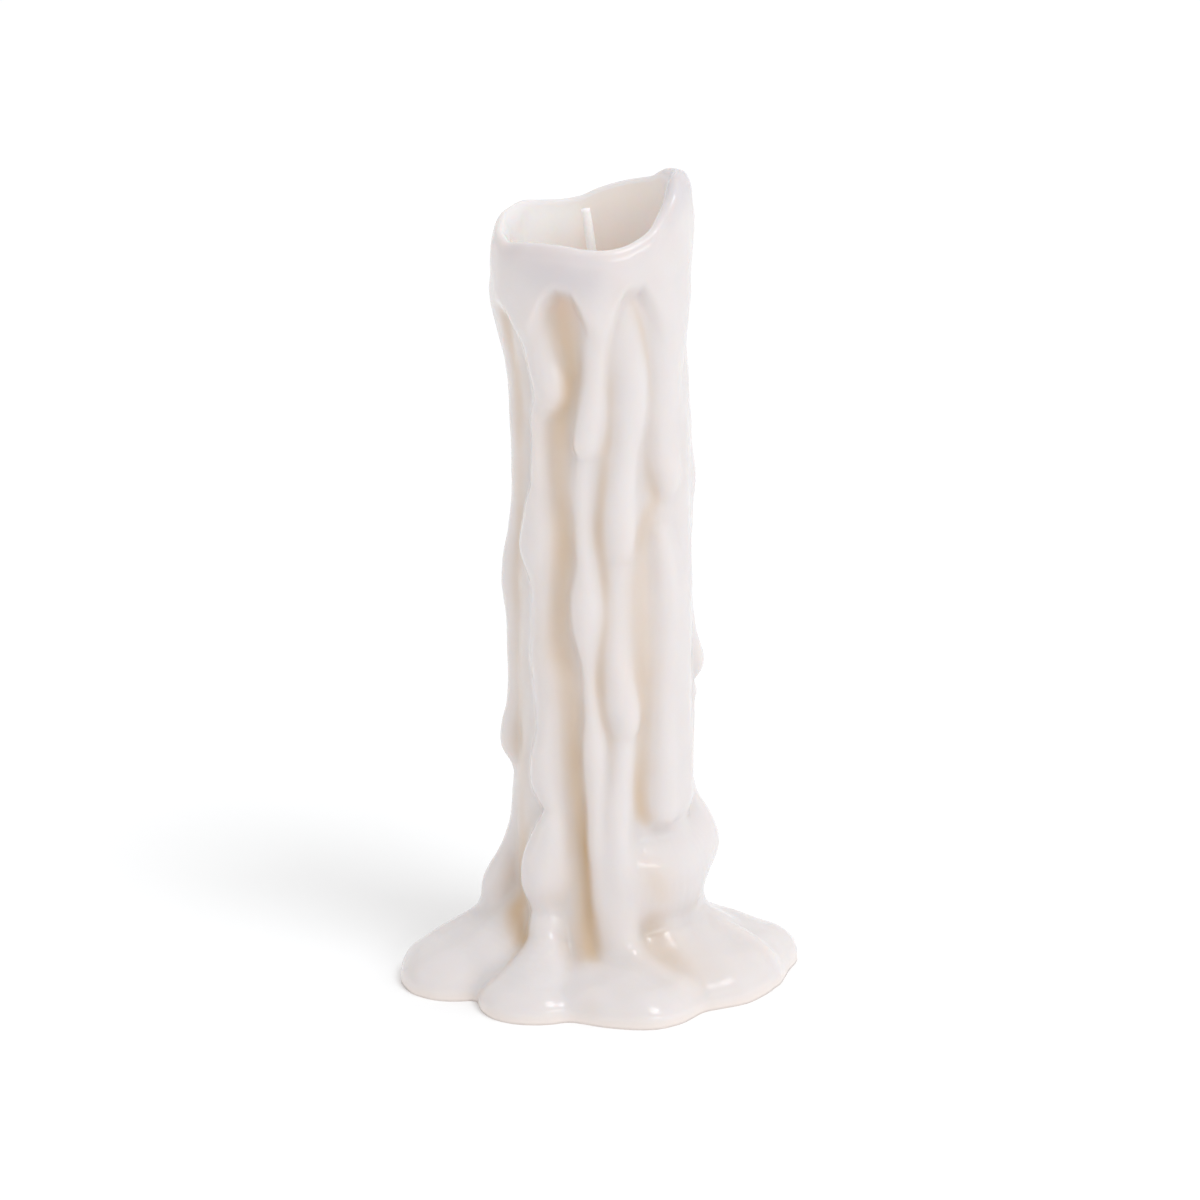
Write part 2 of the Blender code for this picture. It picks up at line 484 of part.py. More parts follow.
def melt(turned, rows):
    """Moves every point of the turned blank to its place on the melted candle."""
    points = np.empty(len(turned.vertices) * 3)
    turned.vertices.foreach_get("co", points)
    points = points.reshape(-1, 3) / MM
    radius = np.hypot(points[:, 0], points[:, 1])
    angle = np.degrees(np.arctan2(points[:, 0], -points[:, 1]))
    outline = np.array([row[:3] for row in rows], float)
    gaps = np.hypot(radius[:, None] - outline[:, 0], points[:, 2][:, None] - outline[:, 1])
    row = np.argmin(gaps, axis=1)
    section = np.array([name for *_, name in rows])[row]
    third = outline[row, 2]

    rim = ring_curve(RIM, angle)
    wall = ring_curve(RIM_WALL, angle)
    rounding = ring_curve(RIM_WALL, angle, column=2)
    shoulder = rim - rounding
    lean = smooth_curve(LEAN, shoulder)
    crest = settle(np.full(len(points), PILLAR_GUIDE_RADIUS), shoulder, 0.0 * angle, angle)
    outside = np.hypot(crest[:, 0] - lean, crest[:, 1])

    pick = section == "pillar"
    height = shoulder[pick] + third[pick] * (PILLAR_FOOT_HEIGHT - shoulder[pick])
    points[pick] = settle(radius[pick], height, 0.0 * height, angle[pick])

    edge = settle(np.full(len(points), 60.0), FOOT_EDGE_HEIGHT, 0.0 * angle, angle)
    spread = np.hypot(edge[:, 0], edge[:, 1]) - PILLAR_GUIDE_RADIUS
    pick = section == "foot"
    share = (radius[pick] - PILLAR_GUIDE_RADIUS) / (FOOT_GUIDE_RADIUS - PILLAR_GUIDE_RADIUS)
    guide = PILLAR_GUIDE_RADIUS + share * spread[pick]
    points[pick] = settle(guide, points[pick, 2], third[pick], angle[pick])
    undercut = pick & (outline[row, 1] < FOOT_EDGE_HEIGHT)
    points[undercut, :2] = edge[undercut, :2]
    points[undercut, 2] = outline[row[undercut], 1]

    pick = section == "rim"
    turn = np.radians(third[pick])
    ring = outside[pick] - wall[pick] / 2 + wall[pick] / 2 * np.cos(turn)
    x, y = at_angle(ring, angle[pick])
    points[pick] = np.stack([x + lean[pick], y, shoulder[pick] + rounding[pick] * np.sin(turn)], axis=1)

    pick = section == "wall"
    down = 1 - third[pick]
    lip = outside[pick] - wall[pick]
    ring = lip + (CUP_RADIUS - lip) * down**WALL_TAPER_POWER
    height = shoulder[pick] + (CUP_FLOOR_HEIGHT + CUP_FILLET - shoulder[pick]) * down
    x, y = at_angle(ring, angle[pick])
    shift = lean[pick] + (smooth_curve(LEAN, height) - lean[pick]) * down
    points[pick] = np.stack([x + shift, y, height], axis=1)

    pick = section == "floor"
    from_wick = (radius[pick] - CHANNEL_RADIUS) / (CUP_RADIUS - CUP_FILLET - CHANNEL_RADIUS)
    points[pick, 0] += np.clip(from_wick, 0, 1) * smooth_curve(LEAN, CUP_FLOOR_HEIGHT)
    hump = np.exp(-(((radius[pick] - CHANNEL_RADIUS) / CUP_FLOOR_RISE_WIDTH) ** 2))
    points[pick, 2] += CUP_FLOOR_RISE * hump

    turned.vertices.foreach_set("co", (points * MM).ravel())
    turned.update()


def make_wax_body(collection):
    rows = blank_profile()
    turned = turned_blank(rows, material("ivory_wax", (0.78, 0.70, 0.63), 0.35, 0.3))
    melt(turned, rows)
    body = bpy.data.objects.new("wax_body", turned)
    collection.objects.link(body)
    return body


def make_wick(collection):
    curve = bpy.data.curves.new("wick", "CURVE")
    curve.dimensions = "3D"
    curve.bevel_depth = WICK_RADIUS * MM
    curve.bevel_resolution = WICK_BEVEL_RESOLUTION
    curve.use_fill_caps = True
    spline = curve.splines.new("POLY")
    spline.points.add(len(WICK_LINE) - 1)
    for point, (x, height) in zip(spline.points, WICK_LINE):
        point.co = (x * MM, 0.0, height * MM, 1.0)
    curve.materials.append(material("cotton", (0.86, 0.82, 0.76), 0.9, 0.0))
    wick = bpy.data.objects.new("wick", curve)
    collection.objects.link(wick)
    return wick


clear_scene()
candle = new_collection(OBJECT_NAME)
make_wax_body(candle)
make_wick(candle)
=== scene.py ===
"""A pillar candle that has burned part of the way down: one body of ivory wax and a cotton wick.

Everything is in metres, with +Z up, -Y to the front and the candle standing on Z = 0.
"""

import math

import bpy
import numpy as np
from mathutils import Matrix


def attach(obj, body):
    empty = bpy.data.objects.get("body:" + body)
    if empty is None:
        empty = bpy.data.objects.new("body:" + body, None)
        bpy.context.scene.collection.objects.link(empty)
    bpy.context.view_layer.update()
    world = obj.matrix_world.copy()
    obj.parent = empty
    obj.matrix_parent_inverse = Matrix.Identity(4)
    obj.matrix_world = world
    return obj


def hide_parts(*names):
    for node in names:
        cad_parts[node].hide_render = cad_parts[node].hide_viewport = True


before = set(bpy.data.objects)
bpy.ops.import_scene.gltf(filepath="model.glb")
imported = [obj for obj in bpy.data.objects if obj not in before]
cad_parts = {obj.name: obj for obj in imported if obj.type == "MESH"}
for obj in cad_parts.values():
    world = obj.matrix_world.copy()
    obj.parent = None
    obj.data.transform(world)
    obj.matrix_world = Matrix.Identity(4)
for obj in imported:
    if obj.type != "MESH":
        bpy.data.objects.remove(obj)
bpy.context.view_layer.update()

# ---------------------------------------------------------------------------------------------------
# The pillar. Ivory paraffin wax, cast in a mould as a plain round candle. The flame has hollowed its
# top into a cup, and the softened wax has slumped a little to one side under its own weight.
# Lengths are in millimetres, angles in degrees: 0 at the front (-Y) and 90 at +X.
# ---------------------------------------------------------------------------------------------------

MM = 0.001

# Sideways slump of the pillar's middle line: (height, offset along X).
LEAN = [
    (0, 0.6), (110, 0.5), (150, 0.15), (168, -0.4), (180, -1.4), (192, -2.4), (206, -1.8), (230, -1.2),
]

# Radius of the wax in the deepest recess at each height.
RECESS = [(0, 26.4), (8, 26.0), (16, 24.8), (28, 23.2), (45, 22.2), (60, 22.0), (230, 22.0)]

# How far the plain wax stands out from the deepest recess: (angle, distance). It fades out over a span
# of height above the foot.
SHEET = [
    (-180, 0.6), (-120, 0.4), (-92, 1.0), (-76, 1.0), (-60, 0.7), (-46, 0.2), (-30, 0.0), (-14, -0.1),
    (-4, 0.8), (4, 1.2), (12, 1.0), (20, 0.8), (28, 0.7), (36, 0.8), (42, 1.4), (49, 2.3), (57, 2.8),
    (72, 1.9), (92, 0.6), (110, 0.6), (150, 0.6),
]
SHEET_FOOT = 18.0
SHEET_FADE = 20.0

# The smooth collar under the rim: (height, radius), and its lower edge: (angle, height, slope length).
COLLAR = [
    (0, 26.3), (190, 26.3), (200, 26.5), (206, 26.3), (212, 25.8), (217, 25.0), (223, 23.8),
    (230, 22.0),
]
COLLAR_EDGE = [
    (-180, 186, 12), (-150, 180, 12), (-120, 188, 12), (-106, 184, 20), (-96, 183, 22), (-87, 186, 10),
    (-77, 188, 7), (-68, 188.5, 6.5), (-60, 187, 7), (-52, 184, 9), (-43, 184, 11), (-34, 189, 9),
    (-28, 193.5, 7), (-20, 196, 6), (-13, 195.5, 6), (-7, 192.5, 8), (-1, 188, 11), (5, 186, 13),
    (10, 188.5, 12), (16, 193, 9), (22, 196, 7), (31, 196.5, 7), (37, 194, 9), (46, 189, 14),
    (58, 186, 18), (90, 190, 17), (120, 188, 14), (150, 178, 12),
]

# A sideways distance to a sloping wall is longer than the straight one, so this share of it is taken.
SLOPE_SHARE = 0.93

# Three slow waves that keep the surface from being dead smooth: (amplitude, radians per mm along X, Y
# and Z, phase).
WAVES = [(0.09, 0.52, 0.33, 0.11, 0.4), (0.07, -0.31, 0.61, 0.23, 2.1), (0.06, 0.17, -0.26, 0.47, 4.0)]


def curve_slopes(at, values):
    """Slope at each point: the harmonic mean of its two neighbours, or 0 at a turning point."""
    steps = np.diff(values) / np.diff(at)
    product = steps[1:] * steps[:-1]
    total = np.where(product > 0, steps[1:] + steps[:-1], 1.0)
    inner = np.where(product > 0, 2 * product / total, 0.0)
    return np.concatenate([steps[:1], inner, steps[-1:]])


def smooth_curve(points, where, column=1):
    """A smooth curve through points of (position, value): cubic pieces that never overshoot them."""
    table = np.array(points, float)
    at, values = table[:, 0], table[:, column]
    slopes = curve_slopes(at, values)
    where = np.clip(where, at[0], at[-1])
    cell = np.clip(np.searchsorted(at, where) - 1, 0, len(at) - 2)
    width = at[cell + 1] - at[cell]
    t = (where - at[cell]) / width
    start = (1 + 2 * t) * (1 - t) ** 2 * values[cell] + t * (1 - t) ** 2 * width * slopes[cell]
    end = t * t * (3 - 2 * t) * values[cell + 1] + t * t * (t - 1) * width * slopes[cell + 1]
    return start + end


def ring_curve(points, angle, column=1):
    """smooth_curve on the full circle, with its points repeated a turn before and a turn after."""
    table = np.array(points, float)
    turn = np.zeros_like(table)
    turn[:, 0] = 360.0
    return smooth_curve(np.concatenate([table - turn, table, table + turn]), angle, column)


def at_angle(radius, angle):
    """X and Y of points at this distance from the axis, with angle 0 towards -Y."""
    turn = np.radians(angle)
    return radius * np.sin(turn), -radius * np.cos(turn)


def pillar_distance(points):
    """Distance to the plain pillar: its radius is the recess and the sheet low down, and eases out to
    the collar's radius over the collar's lower slope."""
    height = points[:, 2]
    x = points[:, 0] - smooth_curve(LEAN, height)
    angle = np.degrees(np.arctan2(x, -points[:, 1]))
    edge = ring_curve(COLLAR_EDGE, angle)
    slope_length = ring_curve(COLLAR_EDGE, angle, column=2)
    sheet = ring_curve(SHEET, angle) * np.clip((height - SHEET_FOOT) / SHEET_FADE, 0, 1)
    below = smooth_curve(RECESS, height) + sheet
    rise = np.clip((height - edge + slope_length) / slope_length, 0, 1)
    share = rise * rise * (3 - 2 * rise)
    radius = below + (smooth_curve(COLLAR, height) - below) * share
    return (np.hypot(x, points[:, 1]) - radius) * SLOPE_SHARE


def waviness(points):
    """The sum of the slow waves at each point: amplitude times the sine of a mixed position."""
    total = np.zeros(len(points))
    for amplitude, along_x, along_y, along_z, phase in WAVES:
        total += amplitude * np.sin(points @ np.array([along_x, along_y, along_z]) + phase)
    return total


# ---------------------------------------------------------------------------------------------------
# The drips. Wax that has run over the rim and down the side, and set in ropes that swell where a run
# stopped and was overtaken by the next. Each is a chain of balls sunk in the pillar's skin.
# ---------------------------------------------------------------------------------------------------

# Each from its top: (height, angle, half width, stand-out from the deepest recess).
DRIPS = {
    "left": [
        (188, -92, 6.5, 3.8), (180, -92, 6, 3.4), (172, -92, 5, 2.4), (164, -87, 4.4, 1.7),
        (156, -79, 4.4, 1.6), (148, -75, 4.6, 1.8), (138, -77, 4.3, 1.8), (130, -81, 4, 2),
        (124, -85, 4, 2.8), (115, -88, 4.4, 4.2), (108.5, -89, 4.6, 4.6), (101, -88, 4.2, 3.7),
        (92, -88, 3.8, 3.2), (80, -89, 3.8, 3.2), (74, -89, 3.8, 3.8), (69, -89, 4.2, 5),
        (64, -89, 4.4, 5.0), (60, -89, 3.4, 2.8), (56, -89, 3.2, 1.2), (50, -89, 3.2, 1.5),
        (42, -89, 3.4, 2.2), (36, -88, 4.2, 3.6), (31, -87, 4.8, 5.6), (27, -86, 5.2, 7.6),
        (23, -86, 5.2, 8.6), (19, -86, 5, 8.2),
    ],
    "front_left": [
        (192, -44, 6, 4), (184, -43.5, 5.2, 3.8), (177, -40, 4.9, 3.8), (170, -36, 4.9, 4.3),
        (165.5, -34.3, 4.9, 4.2), (162, -38.5, 3.2, 3.2), (157, -44, 2, 2.8), (147, -45, 1.9, 2.8),
        (139, -45, 2.8, 3), (133, -46, 4.4, 3.8), (127, -47, 5.8, 4.4), (122, -48, 6.3, 4.6),
        (117, -47, 4.6, 3.4), (112, -45, 3, 2.3), (104, -45, 2.7, 1.9), (98, -44.5, 3.4, 2.5),
        (92, -42, 4.8, 3.3), (87, -40.5, 4.8, 3.2), (80, -40, 3.8, 2.6), (72, -40, 3.8, 2.8),
        (65, -41, 4.8, 3.7), (59, -41.5, 5, 3.9), (55, -38, 3.8, 3.4), (51, -34, 2.6, 3),
        (47, -34.5, 3.6, 4.2), (42, -37, 5.6, 5.8), (36, -39, 6.9, 7.2), (31, -39, 6.9, 7.2),
        (27, -38, 5.6, 5.8), (23, -36.5, 4.6, 4.6), (19, -35, 4.4, 4.8),
    ],
    "front": [
        (198, 8, 5, 4), (191, 5, 3.4, 3.8), (184, 2.5, 2.6, 3.5), (176, 0, 2.6, 3.4),
        (170, -2.5, 2.9, 3.6), (164, -5, 3.4, 4), (157, -7.5, 3.8, 4.4), (152.5, -8.8, 3.3, 4.2),
        (149.5, -9.5, 2.2, 2.6), (143, -11.5, 2.1, 1.9), (134, -12.8, 2, 2), (125, -12, 1.8, 2),
        (120, -11, 2, 2.4), (115, -10.5, 3.2, 3.6), (109, -10.6, 4.2, 4.4), (103, -10.2, 4.1, 4.2),
        (97, -9.4, 2.6, 3), (92, -8.6, 1.6, 2.2), (86, -7.4, 1.5, 2.2), (79, -6, 2, 2.8),
        (72, -4.5, 2.8, 3.5), (65, -4.4, 3, 3.8), (58, -4.2, 2.5, 3.3), (50, -3.8, 2.2, 3.2),
        (42, -2.4, 2.4, 3.6), (34, -0.5, 2.8, 3.8), (27, 2, 3.3, 3.9), (20, 4.5, 3.8, 4.2),
        (14, 7, 4, 4),
    ],
    "front_right": [
        (190, 22, 5.6, 1), (183, 22, 5.6, 1.5), (176, 22.5, 5.2, 2.3), (169, 22.5, 5, 3.2),
        (162, 21, 4.6, 3.7), (155, 19, 3.9, 3.5), (149, 17, 3.3, 3), (143, 14.5, 3.9, 3.4),
        (136, 12.5, 4.2, 3.9), (129, 12, 4.3, 4.5), (124.5, 12, 3.6, 4.1), (120.5, 11.4, 2.4, 2.2),
        (113, 11, 2.2, 1.4), (103, 11, 2.4, 1.5), (95, 10.5, 3, 2.6), (88, 11.6, 4, 3.8),
        (81, 14, 4.5, 4.5), (76, 15.4, 4, 4.4), (72, 14.6, 3, 3.2), (66, 13, 2.9, 3),
        (55, 11.3, 3, 3.2), (46, 10.6, 3.2, 3.7), (38, 10.6, 3.6, 4.3), (30, 10.4, 3.8, 4.6),
        (24, 10.4, 3.8, 4.6), (18, 11.5, 3.8, 4.4),
    ],
    "short": [
        (196, 50, 6, 4), (184, 52, 5.8, 4), (173, 51, 5.4, 3.7), (163, 46.5, 4.2, 3.4),
        (154, 45, 3.9, 3.8), (146, 46, 4, 4.4), (142, 47.5, 3.6, 4.4), (139.5, 48, 2.8, 3.8),
    ],
    "long": [
        (127, 42.5, 1.8, 2.0), (122, 45, 2.8, 2.8), (116, 47, 3.4, 3.1), (108, 48, 3.8, 3.3),
        (94, 49, 4.0, 3.4), (80, 48.6, 4.2, 3.7), (70, 47, 4.6, 4.1), (62, 45.8, 5.0, 4.6),
        (56, 45, 5.2, 4.9), (50, 44.4, 4.6, 4.9),
    ],
    "right_sheet": [
        (156, 68, 4.5, 2.0), (130, 67, 6, 2.0), (100, 66, 6.5, 2.7), (70, 64, 7, 3.4), (52, 63, 7, 4.2),
    ],
    "right": [
        (188, 94, 7, 2.0), (178, 92, 6, 1.2), (168, 91, 5.5, 1.0), (158, 90, 5, 1.1),
        (148, 89, 4.8, 1.8),
        (138, 88, 4.6, 2.9), (131, 88, 3.8, 2.1), (123.5, 88, 3.6, 1.6), (116.5, 89, 3.6, 0.6),
        (108, 90, 3.6, 1.2), (99, 90, 3.6, 2.2), (94, 89, 3.4, 3.2), (90, 88, 3.2, 4.6),
        (87.5, 88, 3, 5.2), (85, 88, 2.4, 4.4), (82.8, 88, 1.7, 2.8), (81.3, 88, 1.6, 2.2),
        (79.5, 88, 1.8, 2.8), (78, 88, 2, 3.3), (75.5, 88, 2.2, 2.6), (66, 90, 4, 2.8),
        (56, 92, 4.6, 2.6), (48, 92, 5.4, 3.6), (42, 91, 6.2, 6.4), (36, 91, 6.4, 8.0),
    ],
    "back_right": [
        (190, 120, 5, 3.8), (175, 122, 3.2, 3.4), (160, 119, 3.4, 3.8), (150, 118, 4.4, 4.4),
        (140, 120, 2.2, 2.8), (112, 124, 3, 3.2), (98, 123, 4.4, 4.4), (86, 121, 2.4, 2.8),
        (60, 122, 3.4, 3.4), (44, 122, 4.6, 4.6), (30, 122, 4.8, 6),
    ],
    "back_inner_right": [
        (190, 150, 5, 3.8), (172, 152, 4.2, 4.2), (162, 152, 4.4, 4.4), (152, 155, 2.2, 2.6),
        (126, 154, 3.2, 3.2), (110, 152, 4.6, 4.4), (100, 153, 2.2, 2.6), (76, 156, 3.2, 3.4),
        (62, 156, 4.6, 4.4), (52, 156, 2.6, 3), (32, 155, 4.6, 6),
    ],
    "back": [
        (190, -176, 5, 3.8), (178, -176, 3, 3.4), (150, -173, 3.2, 3.4), (132, -172, 4.6, 4.6),
        (121, -173, 2.6, 3), (92, -175, 3.2, 3.4), (76, -174, 4.8, 4.6), (64, -174, 2.6, 3),
        (34, -176, 5, 6),
    ],
    "back_inner_left": [
        (190, -150, 5, 3.8), (168, -148, 4.2, 4.2), (156, -147, 2.4, 2.8), (140, -146, 3, 3),
        (124, -147, 4.6, 4.4), (110, -148, 2.4, 2.8), (86, -147, 3.4, 3.4), (72, -146, 4.4, 4.4),
        (56, -147, 2.6, 3), (34, -148, 5, 6),
    ],
    "back_left": [
        (190, -128, 5, 3.8), (172, -126, 3, 3), (152, -124, 4.4, 4.2), (142, -124, 2.6, 2.8),
        (116, -122, 3, 3.2), (98, -121, 4.4, 4.2), (86, -121, 2.4, 2.8), (64, -122, 4, 4),
        (48, -122, 3.4, 3.8), (32, -120, 5, 6),
    ],
}

# The thick roll of wax on the right, above the foot: (angle, height, distance from the axis, radius).
BOWL = [
    (14, 34, 19.6, 5.5), (24, 34, 19.4, 7.8), (40, 33.5, 19.8, 8.8), (56, 33.5, 21.2, 9.2),
    (68, 34.5, 22.4, 9.0), (80, 35.5, 22.6, 8.6), (92, 35.5, 22.6, 8.4), (103, 35, 22.3, 7.6),
    (112, 34, 21.6, 6.0),
]

# The thick apron under the roll, the same way.
APRON = [
    (18, 27, 19.0, 6.0), (28, 27, 19.6, 8.0), (42, 27, 20.0, 8.8), (56, 27, 20.6, 8.6),
    (72, 26.5, 20.6, 7.4), (92, 25, 20.4, 6.8), (112, 22, 19.5, 5.4),
]

DRIP_FILLET = 2.8
BOWL_FILLET = 4.5
APRON_FILLET = 6.0

# Points further than this from a piece of the wax are left out of its distance, and keep FAR.
NEAR = 9.0
FAR = 1e9


def along_path(points, per_step=5):
    """The points of a path with per_step points between each two, on a curve with even slopes."""
    table = np.array(points, float)
    where = np.linspace(0, len(table) - 1, (len(table) - 1) * per_step + 1)
    slopes = np.gradient(table, axis=0)
    cell = np.clip(where.astype(int), 0, len(table) - 2)
    t = (where - cell)[:, None]
    start = (1 + 2 * t) * (1 - t) ** 2 * table[cell] + t * (1 - t) ** 2 * slopes[cell]
    end = t * t * (3 - 2 * t) * table[cell + 1] + t * t * (t - 1) * slopes[cell + 1]
    return start + end


def drip_balls(path):
    """Balls (x, y, z, radius) that show above the recess as a strip of the drip's width and height: the
    radius is (width squared + height squared) / (2 height), on half widths."""
    height, angle, half_width, stand_out = along_path(path).T
    radius = (half_width**2 + stand_out**2) / (2 * stand_out)
    x, y = at_angle(smooth_curve(RECESS, height) + stand_out - radius, angle)
    return np.stack([x + smooth_curve(LEAN, height), y, height, radius], axis=1)


def ring_balls(path):
    """Balls set round the axis at the given angles, heights and distances."""
    angle, height, distance, radius = along_path(path, 4).T
    x, y = at_angle(distance, angle)
    return np.stack([x, y, height, radius], axis=1)


def chain_distance(points, balls):
    """Distance from each point to a chain of balls joined by straight cones. Points far from the chain
    keep a large value, because they do not touch the blend."""
    nearest = np.full(len(points), FAR)
    low = (balls[:, :3] - balls[:, 3:]).min(axis=0) - NEAR
    high = (balls[:, :3] + balls[:, 3:]).max(axis=0) + NEAR
    inside = np.flatnonzero(np.all((points > low) & (points < high), axis=1))
    if len(inside) == 0:
        return nearest
    close = points[inside]
    found = np.full(len(close), FAR)
    for start, end in zip(balls[:-1], balls[1:]):
        axis = end[:3] - start[:3]
        middle = (start[2] + end[2]) / 2
        span = abs(axis[2]) / 2 + max(start[3], end[3]) + NEAR
        near = np.flatnonzero(np.abs(close[:, 2] - middle) < span)
        if len(near) == 0:
            continue
        offset = close[near] - start[:3]
        share = np.clip(offset @ axis / (axis @ axis), 0, 1)
        gap = np.linalg.norm(offset - share[:, None] * axis, axis=1)
        found[near] = np.minimum(found[near], gap - (start[3] + share * (end[3] - start[3])))
    nearest[inside] = found
    return nearest


def smooth_union(first, second, fillet):
    """The nearer of two surfaces, with a fillet where they meet."""
    blend = np.clip(0.5 + 0.5 * (second - first) / fillet, 0, 1)
    return second * (1 - blend) + first * blend - fillet * blend * (1 - blend)


DRIP_CHAINS = [drip_balls(path) for path in DRIPS.values()]
BOWL_CHAIN = ring_balls(BOWL)
APRON_CHAIN = ring_balls(APRON)

# ---------------------------------------------------------------------------------------------------
# The foot. The wax that reached the table spread there in rounded lobes, one over the other, and set
# with a flat underside.
# ---------------------------------------------------------------------------------------------------

# Each lobe from the pillar outwards: (distance from the axis, angle, half width, height). The lobes of
# a group run together, and each group lies against the next with a crease.
LOBES = {
    "left": [
        [(18, -88, 10, 24), (28, -87, 11, 18.8), (36, -84, 12, 14.2), (41, -80, 13, 11),
         (42, -74, 13, 9)],
        [(20, -68, 8.5, 25), (28, -66, 9.5, 19), (35, -65, 10.5, 14.2), (42.5, -66, 11.3, 10)],
        [(20, -55, 6.5, 23), (25, -54, 7, 17.5), (31, -54, 7.5, 12.5)],
        [(18, -114, 9, 18), (27, -114, 10.5, 12.5), (34, -113, 12, 8)],
    ],
    "front_left": [
        [(17, -38, 7, 25), (22, -35, 7.2, 23), (26.5, -32, 8.2, 20), (31, -29, 11.5, 15.5),
         (35.8, -29, 15, 10)],
    ],
    "front": [
        [(21, -8, 4.5, 19), (26, -8, 6, 14.5), (31, -5, 8, 11.5), (35, -3, 10, 9)],
        [(26, 16, 7, 15), (31, 16, 11, 12.5), (36, 17, 15.5, 9.8)],
        [(16, 44, 14, 24), (20, 44, 14, 22), (25, 44, 14, 17.5), (30, 46, 13.5, 13.2),
         (33, 49, 12.8, 10)],
        [(30, 57, 12, 12.5), (36.5, 57, 12.8, 9.4)],
        [(22, 67, 10, 20), (29, 67, 11, 15.5), (36, 66, 12.5, 11.5)],
        [(20, 77, 9.5, 23), (28, 78, 11, 18), (38, 78, 12.5, 12)],
        [(18, 98, 9.5, 20.5), (26, 99, 11, 16.8), (33, 98, 12, 13.8), (41, 96, 13, 10.4)],
        [(18, 124, 9, 15), (27, 124, 10.5, 11), (35, 124, 12.5, 7.6)],
    ],
    "curl": [
        [(23, 10.5, 3.8, 27), (26, 11, 3.8, 21.5), (29, 14.5, 4, 16.5), (32, 20.5, 4.8, 12.8),
         (36, 26, 6, 10.4), (40, 30, 6.5, 9.2)],
    ],
    "thin_drop": [
        [(34, 71, 2.6, 16.2), (42, 72, 3, 12.8), (47, 72, 2.4, 9.2)],
    ],
    "back": [
        [(20, 172, 10, 20), (29, 172, 12, 13), (36.5, 172, 14, 7.6)],
    ],
    "back_left": [
        [(20, -152, 10, 20), (29, -152, 12, 13), (36, -150, 13, 7.6)],
    ],
}
LOBE_FILLET = 6.5
GROUP_FILLET = 3.2
FOOT_FILLET = 4.0
PUDDLE_RADIUS = 43.0
PUDDLE_THICKNESS = 8.5
LOBE_AXIS_HEIGHT = 1.0


def dome_distance(across, up, half_width, height):
    """Distance to a flattened dome, from the distance across it and the height above its base."""
    scaled = np.sqrt((across / half_width) ** 2 + (up / height) ** 2)
    slope = np.sqrt((across / half_width**2) ** 2 + (up / height**2) ** 2) + 1e-9
    return scaled * (scaled - 1) / slope


def lobe_distance(points, path):
    """Distance to one lobe: a dome carried along the lobe's middle line, widening and sinking."""
    distance, angle, half_width, height = along_path(path, 4).T
    centres = np.stack(at_angle(distance, angle), axis=1)
    nearest = np.full(len(points), FAR)
    low = (centres - half_width[:, None]).min(axis=0) - NEAR
    high = (centres + half_width[:, None]).max(axis=0) + NEAR
    plan = points[:, :2]
    near = np.all((plan > low) & (plan < high), axis=1) & (points[:, 2] < height.max() + NEAR)
    inside = np.flatnonzero(near)
    if len(inside) == 0:
        return nearest
    close = points[inside]
    found = np.full(len(close), FAR)
    for i in range(len(centres) - 1):
        axis = centres[i + 1] - centres[i]
        offset = close[:, :2] - centres[i]
        share = np.clip(offset @ axis / (axis @ axis), 0, 1)
        across = np.linalg.norm(offset - share[:, None] * axis, axis=1)
        width = half_width[i] + share * (half_width[i + 1] - half_width[i])
        tall = height[i] + share * (height[i + 1] - height[i]) - LOBE_AXIS_HEIGHT
        dome = dome_distance(across, close[:, 2] - LOBE_AXIS_HEIGHT, width, tall)
        found = np.minimum(found, dome)
    nearest[inside] = found
    return nearest


def wax_distance(points):
    """Distance from each point to the outer skin of the wax, negative inside it: the pillar, the drips,
    the foot and the roll, each run into the rest with a fillet."""
    wax = pillar_distance(points)
    for chain in DRIP_CHAINS:
        wax = smooth_union(wax, chain_distance(points, chain), DRIP_FILLET)
    from_axis = np.hypot(points[:, 0], points[:, 1])
    above = points[:, 2] - LOBE_AXIS_HEIGHT
    foot = dome_distance(from_axis, above, PUDDLE_RADIUS, PUDDLE_THICKNESS - LOBE_AXIS_HEIGHT)
    for paths in LOBES.values():
        group = lobe_distance(points, paths[0])
        for path in paths[1:]:
            group = smooth_union(group, lobe_distance(points, path), LOBE_FILLET)
        foot = smooth_union(foot, group, GROUP_FILLET)
    wax = smooth_union(wax, foot, FOOT_FILLET)
    wax = smooth_union(wax, chain_distance(points, BOWL_CHAIN), BOWL_FILLET)
    wax = smooth_union(wax, chain_distance(points, APRON_CHAIN), APRON_FILLET)
    return wax + waviness(points)


# ---------------------------------------------------------------------------------------------------
# The wax body as one skin. A grid of rings, from the wick's channel over the cup's floor, up its
# inside, over the rim and down the outside to the foot and the flat underside, closed on itself.
# ---------------------------------------------------------------------------------------------------

# Height of the rim: (angle, height). It is lowest in front and rises to a tip on the right.
RIM = [
    (-172, 207.5), (-160, 206.9), (-148, 207.3), (-132, 208.2), (-116, 207.8), (-100, 206.6),
    (-82, 204.9), (-64, 204), (-47, 205.2), (-30, 205.9), (-17, 205.8), (-5, 205.1), (7, 204.9),
    (18, 205.4), (29, 206.9), (39, 209.2), (47, 212.2), (54, 215.2), (61, 217.9), (70, 219.9),
    (80, 220.6), (92, 220.3), (104, 219.3), (116, 218.5), (126, 217.6), (134, 216.1), (141, 214.4),
    (151, 213.2), (164, 211.7), (177, 209.7),
]

